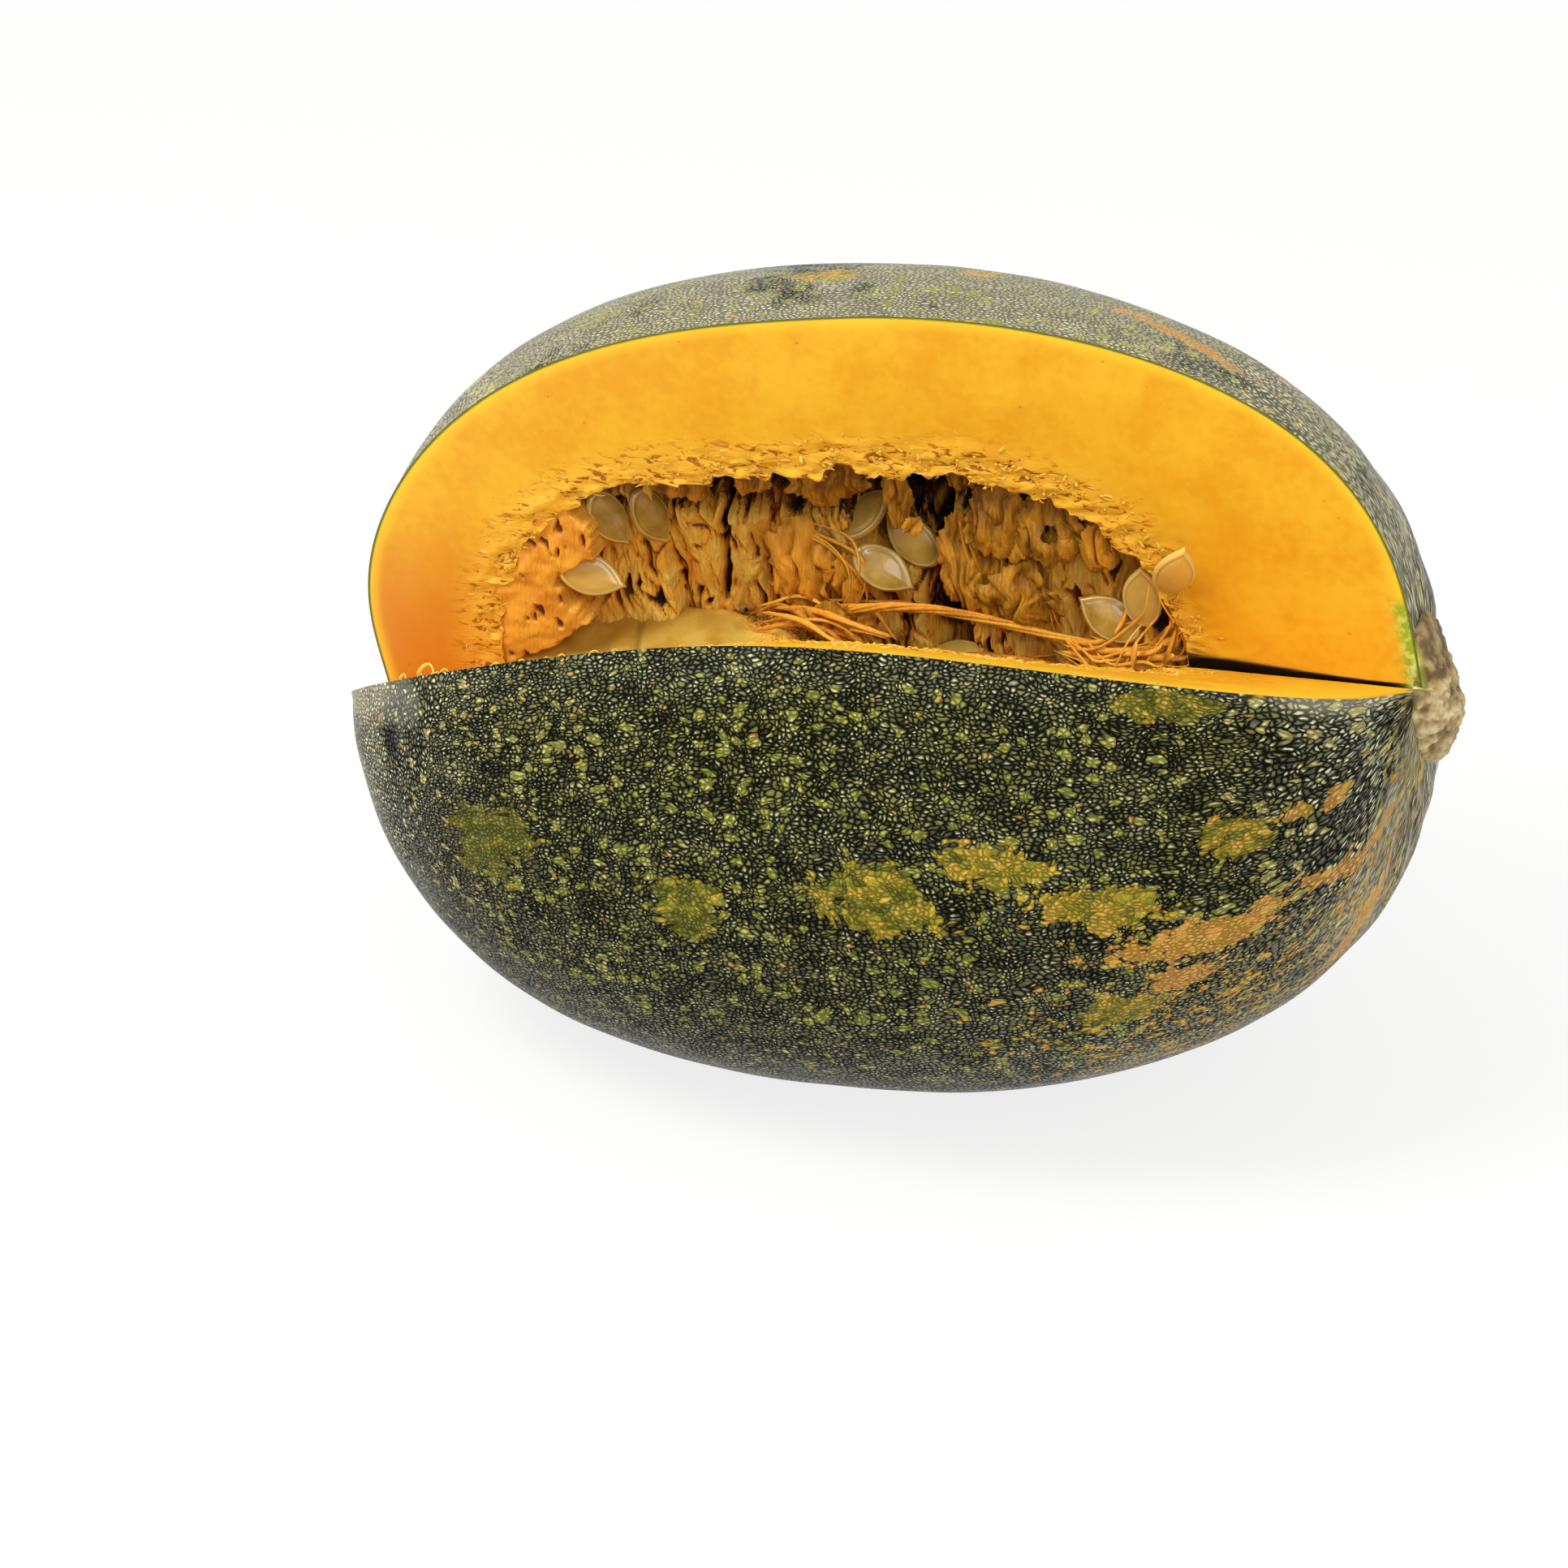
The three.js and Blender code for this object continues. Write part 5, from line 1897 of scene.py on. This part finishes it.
@dataclass
class TissueFilms:
    """Brown films that hang in the hollow, folded and torn at their edges."""

    films: tuple[Film, ...] = (
        Film("orange_lobe", (-31, 12, 12), (8, 13), 3, 0, 0, 0.95),
        Film("orange_lobe_foot", (-24, -1, 9), (10, 5), 2, -0.3, 0, 0.9),
        Film("orange_lobe_thin", (-20, 8, 13), (4, 8), 2, 0, 0, 0.85),
        Film("ochre_lobe", (10, 13, 11), (6, 13), 3, 0.1, 0, 0.75),
        Film("ochre_lobe_right", (16, 10, 11), (4, 11), 2, 0.1, 0, 0.6),
        Film("roof_film_blossom", (-54, 37, 8), (7, 4), 2, 0.3, 0, 0.5),
        Film("roof_film_curtain", (-38, 37, 9), (5, 3), 2, 0.2, 0, 0.6),
        Film("roof_film_middle", (-20, 38, 9), (10, 7), 3, 0.1, 0, 0.45),
        Film("hanging_drop", (-2, 34, 8), (3.6, 8), 2, 0.1, 0, 0.5),
        Film("bright_flake", (1, 26, 7), (2.6, 2.4), 0.8, 0, 0, 1),
        Film("roof_film_stem", (14, 37, 11), (5, 3), 2, 0.1, 0, 0.5),
        Film("folded_film_upper", (22, 27, 8), (9, 9), 3, 0.2, 0, 0.5),
        Film("pierced_film", (35, 25, 7), (8.5, 9), 2.5, 0.2, 0.24, 0.55),
        Film("folded_film_end", (46, 21, 5), (4, 7), 2, 0.1, 0, 0.75),
        Film("shaggy_lump_film", (24, 5, 9), (10, 10), 4, -0.1, 0, 0.5),
    )
    rings: int = 34
    columns: int = 110
    thickness: float = 0.4
    first_seed: int = 500
    seed_step: int = 20

    def shell(self, film: Film, seed: int) -> Shell:
        """One film: rings about its middle with a torn outline, domed and folded, and
        closed to its own thickness.

        Args:
            film: The film.
            seed: Number that picks its folds.

        Returns:
            The closed shell, with its tone.
        """
        turn = np.linspace(0, TURN, self.columns + 1)[:, None]
        share = np.linspace(film.hole, 1, self.rings)[None, :]
        circle = 9 * stacked(np.cos(turn), np.sin(turn), 0)
        torn = 1 + 0.28 * rough(circle, 6, seed, 2) + 0.10 * share * grain(circle, 1.1, seed + 3)
        along = film.half[0] * share * torn * np.cos(turn)
        up = film.half[1] * share * torn * np.sin(turn)
        flat = stacked(along, up, 0)
        bent = flat + 2.5 * rough(flat, 9, seed + 4, 2)[..., None] * np.array([1, 0.4, 0])
        folds = (1 - np.abs(grain(bent, (5, 18, 1), seed + 5))) ** 5
        strings = (1 - np.abs(grain(bent, (1.7, 9, 1), seed + 6))) ** 3
        wrinkle = 1.6 * folds + 0.35 * strings + 1.2 * grain(flat, (8, 11, 1), seed + 8)
        behind = wrinkle - film.belly * (1 - share**2) + film.lean * up
        front = FORM.at_cut(np.asarray(film.middle) + stacked(along, up, behind))
        front = inside_hollow(front, 0.5)
        within = share - film.hole if film.hole else 1 + share
        thick = self.thickness * np.sqrt(np.clip((1 - share) * within, 0, 1))
        back = front + (2 * thick)[..., None] * FORM.cut_axes[2]
        # tone, with painted shade in the folds and strings
        tone = film.tone + 0.2 * rough(flat, (4, 9, 1), seed + 12) - 0.45 * folds - 0.15 * strings
        tone = np.clip(tone, 0, 1)
        return closed_sheet(front, back, tone=tone)

    def build(self, tissue: Material) -> None:
        """Makes every film.

        Args:
            tissue: Finish of the films.
        """
        for film, seed in zip(self.films, itertools.count(self.first_seed, self.seed_step)):
            piece = self.shell(film, seed).piece(film.name, [tissue])
            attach(piece, "root")


@dataclass
class TornTissue:
    """Torn flakes and short strings on the cut faces, all round the hollow's mouth."""

    count: int = 560
    zone: Pair = (0.3, 10)
    length: Pair = (0.8, 3.2)
    radius: Pair = (0.15, 0.6)
    lift: float = 0.35
    first_seed: int = 700

    def shell(self, rear: bool, seed: int) -> Shell:
        """The flakes of one face.

        Each starts at a random place of the zone round the mouth, and runs mostly along the
        mouth, bending off the face and back.

        Args:
            rear: Whether the face is the rear one.
            seed: Number that picks the flakes.

        Returns:
            The shell, with each flake's tone.
        """
        source = np.random.default_rng(seed)
        theta = source.uniform(0.10, math.pi - 0.06, self.count)
        phi = np.full(self.count, TURN) if rear else FORM.front_angle(theta)
        body = SquashBody()
        off = self.zone[0] + (self.zone[1] - self.zone[0]) * source.random(self.count) ** 1.7
        rays = FORM.cut_ray(theta, phi)
        mouth = body.hollow_reach(theta, phi)
        start = FORM.edge + (mouth + off)[:, None] * rays
        step = 0.01
        next_phi = np.full(self.count, TURN) if rear else FORM.front_angle(theta + step)
        wall = FORM.from_edge(FORM.hollow_level, rays)
        next_rays = FORM.cut_ray(theta + step, next_phi)
        next_wall = FORM.from_edge(FORM.hollow_level, next_rays)
        along = unit(next_wall[:, None] * next_rays - wall[:, None] * rays)
        normal = unit(np.cross(rays, along)) * (1 if rear else -1)
        out = -FORM.cut_axes[2] if rear else FORM.cut_axes[1]
        normal = normal * np.sign((normal * out).sum(-1))[:, None]
        heading = source.normal(0.5, 0.8, self.count)
        heading = heading + np.where(source.uniform(size=self.count) < 0.5, 0, math.pi)
        direction = np.cos(heading)[:, None] * along + np.sin(heading)[:, None] * rays
        length = mix(self.length[0], self.length[1], source.random(self.count) ** 1.8)
        end = start + length[:, None] * direction
        steps = 7
        paths = wandering(start, end, steps, 0.10, source)
        share = np.linspace(0, 1, steps)
        rise = self.lift * np.sin(math.pi * share)[None, :] * source.random((self.count, 1)) - 0.15
        paths = paths + rise[..., None] * normal[:, None]
        radius = mix(self.radius[0], self.radius[1], source.random(self.count) ** 2)
        radii = radius[:, None] * np.sin(math.pi * np.linspace(0.05, 0.95, steps))[None, :] ** 0.6
        tone = np.clip(0.45 + 0.05 * off + source.normal(0, 0.22, self.count), 0, 1)
        return strands(paths, radii, 5, 0.35, 0.4, tone=tone)

    def build(self, string: Material) -> None:
        """Makes the flakes of both faces.

        Args:
            string: Finish of the flakes.
        """
        faces = {"torn_tissue_rear_face": True, "torn_tissue_front_face": False}
        for seed, (name, rear) in enumerate(faces.items(), start=self.first_seed):
            piece = self.shell(rear, seed).piece(name, [string])
            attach(piece, "root")


# ==== Stem stub, and the curled shavings on the front rim ====


@dataclass
class StemStub:
    """The corky button of the stem, with the same slice cut out of it."""

    centre: Triple = (121, 22, 0)
    half: Triple = (9.2, 12, 19)
    heart: Triple = (124, 24, -5)
    shoulder_power: float = 1.9
    sunk: float = 2.2
    crown: float = 0.45
    sharp_edge: float = 50
    rows: int = 90
    columns: int = 140

    def outside(self, points: Array) -> Array:
        """Positive outside the button or inside the removed slice.

        Args:
            points: The points.

        Returns:
            One number for each point.
        """
        offset = np.abs(points - np.asarray(self.centre)) / np.asarray(self.half)
        offset[..., 0] /= mix(1, self.crown, smoothstep(points[..., 2], -8, 10))
        across = np.hypot(offset[..., 1], offset[..., 2])
        button = offset[..., 0] ** self.shoulder_power + across**self.shoulder_power - 1
        theta, phi = FORM.cut_angles(points)
        removed = (phi > 0) & (phi < FORM.front_angle(theta))
        sunk = FORM.depth_under(FORM.rind_level, points) > self.sunk
        return np.where(removed | sunk, 1, button)

    def shell(self) -> Shell:
        """The stub: from a point inside it, each ray runs to the button's skin or the cut.

        Returns:
            The shell, with its cut face and the painted shade where its bark sinks, darker towards the top.
        """
        theta = np.linspace(0, math.pi, self.rows)[:, None]
        turn = np.linspace(0, TURN, self.columns + 1)[None, :-1]
        rays = stacked(np.cos(theta), np.sin(theta) * np.cos(turn), np.sin(theta) * np.sin(turn))
        heart = np.asarray(self.heart)
        marks = np.linspace(0, 32, 129)
        leaves = self.outside(heart + marks[:, None, None, None] * rays[None]) > 0
        far = marks[np.argmax(leaves, axis=0)]
        near = far - marks[1]
        for _ in range(12):
            middle = (near + far) / 2
            out = self.outside(heart + middle[..., None] * rays) > 0
            far, near = np.where(out, middle, far), np.where(out, near, middle)
        points = heart + far[..., None] * rays
        theta_at, phi_at = FORM.cut_angles(points)
        near_cut = np.minimum(phi_at, TURN - phi_at)
        cut = fade(near_cut * np.sin(theta_at), 0.006, 0.02) * (points[..., 2] > -1)
        offset = (points - np.asarray(self.centre)) / np.asarray(self.half)
        heartwood = fade(np.linalg.norm(offset, axis=-1) + 0.08 * rough(points, 4, 809), 0.8, 0.95)
        bark = 0.9 * rough(points, (5, 6, 3.2), 800) + 0.4 * grain(points, 1.3, 805) - 0.8
        cut = cut * heartwood * fade(points[..., 0], 121, 123.5)
        points = points + ((1 - cut) * bark)[..., None] * unit(offset)
        faces = grid_faces(self.rows, self.columns, closed=True)
        # painted shade where the bark sinks, and darker towards the top
        dark = 0.2 * smoothstep(points[..., 2], -4, 8)
        values = {"cut": cut.ravel(), "pit": np.clip(0.1 + dark - 0.4 * bark, 0, 1).ravel()}
        return Shell(points.reshape(-1, 3), faces, values)

    def build(self, cork: Material) -> None:
        """Makes the stub in place of the CAD stub.

        Args:
            cork: Finish of the stub.
        """
        piece = self.shell().piece("stem_stub_cork", [cork], self.sharp_edge)
        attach(piece, "root")
        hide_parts("stem_stub")


@dataclass(frozen=True)
class Shaving:
    """One loop of flesh on the front rim: its middle and its span in degrees along the
    rim, and its height in millimetres."""

    theta: float
    span: float
    height: float


@dataclass
class RimShavings:
    """Thin loops and crumbs of flesh that the knife left standing on the front rim."""

    shavings: tuple[Shaving, ...] = (
        Shaving(150.5, 1, 1.3),
        Shaving(146.5, 2.6, 2.6),
        Shaving(143.6, 1.2, 0.9),
        Shaving(83.5, 2.4, 2),
        Shaving(81, 1.1, 1.4),
    )
    crumbs: int = 34
    crumb_theta: Pair = (35, 155)
    crumb_span: Pair = (0.4, 1.6)
    crumb_height: Pair = (0.15, 0.75)
    steps: int = 24

    def shell(self) -> Shell:
        """Every loop: a flat ribbon that leaves the rim, arches over it and comes back.

        Returns:
            The shell.
        """
        source = np.random.default_rng(850)
        spans = (self.crumb_theta, self.crumb_span, self.crumb_height)
        crumbs = [Shaving(*(source.uniform(*span) for span in spans)) for _ in range(self.crumbs)]
        loops = (*self.shavings, *crumbs)
        share = np.linspace(0, 1, self.steps)[None, :]
        span = np.array([loop.span for loop in loops])[:, None]
        height = np.array([loop.height for loop in loops])[:, None]
        theta = np.radians(np.array([loop.theta for loop in loops])[:, None] + span * (share - 0.5))
        phi = FORM.front_angle(theta)
        reach = SquashBody().rind_reach(theta, phi)
        rim = FORM.edge + (reach - 0.7)[..., None] * FORM.cut_ray(theta, phi)
        lift = height * np.sin(math.pi * share) ** 0.7
        lean = 0.35 * height * np.sin(TURN * share) + 0.2 * grain(rim, 1.5, 851)
        paths = rim + (lift - 0.2)[..., None] * [0, 0, 1] + lean[..., None] * FORM.cut_axes[2]
        taper = np.sin(math.pi * np.linspace(0.04, 0.96, self.steps)) ** 0.5
        radii = (0.22 + 0.14 * height) * taper
        return strands(paths, radii, 6, 0.4, 0.6, tone=np.full(len(loops), 0.98))

    def build(self, flesh: Material) -> None:
        """Makes the loops.

        Args:
            flesh: Finish of the loops.
        """
        piece = self.shell().piece("rim_shavings", [flesh])
        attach(piece, "root")


# ==== Studio: floor, lamps and camera ====


@dataclass(frozen=True)
class SoftLamp:
    """A soft lamp: degrees round from the front and up, metres away and wide, and watts."""

    name: str
    azimuth: float
    elevation: float
    distance: float
    size: float
    power: float


@dataclass
class Studio:
    """Pale floor, soft lamps, white surroundings and the camera."""

    floor_size: float = 6
    paper: str = "#f4f3f0"
    white: str = "#ffffff"
    floor_glow: float = 0.82
    sky: Pair = (0.24, 0.98)
    lamps: tuple[SoftLamp, ...] = (
        SoftLamp("key_lamp", -28, 52, 1.5, 0.7, 16),
        SoftLamp("fill_lamp", 40, 30, 1.7, 0.9, 8),
    )
    target: Triple = (-0.02508, -0.01426, 0.0682)
    camera_azimuth: float = 26.4
    camera_elevation: float = 24
    camera_distance: float = 1.4
    lens: float = 133.57
    sensor_width: float = 36
    nearest: float = 0.05

    def aim(self, obj: bpy.types.Object, azimuth: float, elevation: float, distance: float) -> None:
        """Sets an object at its place, looking at the target.

        Args:
            obj: The lamp or camera.
            azimuth: Degrees round from the front, seen from the target.
            elevation: Degrees up.
            distance: Metres from the target.
        """
        turn, rise = math.radians(azimuth), math.radians(elevation)
        level = math.cos(rise)
        back = np.array([math.sin(turn) * level, -math.cos(turn) * level, math.sin(rise)])
        right = unit(np.cross([0, 0, 1], back))
        matrix = np.eye(4)
        matrix[:3, :3] = np.stack([right, np.cross(back, right), back], axis=1)
        matrix[:3, 3] = self.target + distance * back
        obj.matrix_world = Matrix(matrix.tolist())

    def seen(self, add: Callable) -> bpy.types.NodeSocket:
        """1 for rays from the camera and for those that glossy or clear things pass on.

        Args:
            add: add_node for the tree.

        Returns:
            The socket.
        """
        path = add(Op.LIGHT_PATH)
        seen = add(Op.LARGER, path["Is Camera Ray"], path["Is Glossy Ray"])
        return add(Op.LARGER, seen, path["Is Transmission Ray"])

    def build_floor(self) -> None:
        """Pale floor, white to the camera, which keeps the soft shadow of the squash."""
        half = self.floor_size / 2
        corners = [(-half, -half, 0), (half, -half, 0), (half, half, 0), (-half, half, 0)]
        mesh = bpy.data.meshes.new("studio_floor")
        mesh.from_pydata(corners, [], [(0, 1, 2, 3)])
        material, add = new_material("matt_studio_paper")
        share = add(Op.TIMES, self.seen(add), self.floor_glow)
        add(Op.SURFACE, add(Op.BOTH, share, add(Op.MATT, self.paper), add(Op.GLOW, self.white, 1)))
        mesh.materials.append(material)
        new_object("studio_floor", mesh)

    def build_sky(self) -> None:
        """White surroundings: seen as plain white, and lighting more from overhead."""
        world = bpy.data.worlds.new("studio_surroundings")
        bpy.context.scene.world = world
        world.use_nodes = True
        world.node_tree.nodes.clear()
        add = partial(add_node, world.node_tree)
        _, _, height = add(Op.AXES, add(Op.DIRECTION))
        strength = add(Op.BETWEEN, self.seen(add), add(Op.RAMP, height, 0, 1, *self.sky), 1)
        add(Op.SURROUNDINGS, add(Op.SKY, self.white, strength))

    def build_lamps(self) -> None:
        """Round area lamps that look at the squash."""
        for lamp in self.lamps:
            data = bpy.data.lights.new(lamp.name, "AREA")
            data.shape = "DISK"
            data.size = lamp.size
            data.energy = lamp.power
            self.aim(new_object(lamp.name, data), lamp.azimuth, lamp.elevation, lamp.distance)

    def build_camera(self) -> None:
        """Camera with a long lens, which looks down at the open side."""
        data = bpy.data.cameras.new("studio_camera")
        data.lens = self.lens
        data.sensor_width = self.sensor_width
        data.clip_start = self.nearest
        camera = new_object("studio_camera", data)
        self.aim(camera, self.camera_azimuth, self.camera_elevation, self.camera_distance)
        bpy.context.scene.camera = camera

    def build(self) -> None:
        """Makes the whole studio."""
        self.build_floor()
        self.build_sky()
        self.build_lamps()
        self.build_camera()
        bpy.context.scene.view_settings.view_transform = "Standard"


def main() -> None:
    """Builds the studio and every sub-assembly in order."""
    pulp = StringyPulp().material()
    torn = MoistString(StringTone.TORN_FLESH).material()
    steps = (
        (Studio(), ()),
        (SquashBody(), (WaxyRind().material(), CutFlesh().material())),
        (StemStub(), (StemCork().material(),)),
        (PulpBed(), (pulp,)),
        (HangingPulp(), (pulp,)),
        (PulpStrings(), (MoistString(StringTone.PULP).material(),)),
        (TissueFilms(), (MoistString(StringTone.DRIED_FILM).material(),)),
        (TornTissue(), (torn,)),
        (Seeds(), (SeedCoat().material(),)),
        (RimShavings(), (torn,)),
    )
    for sub_assembly, materials in steps:
        log.info("building %s", type(sub_assembly).__name__)
        sub_assembly.build(*materials)


if __name__ == "__main__":
    logging.basicConfig(level=logging.INFO, format="%(message)s")
    main()
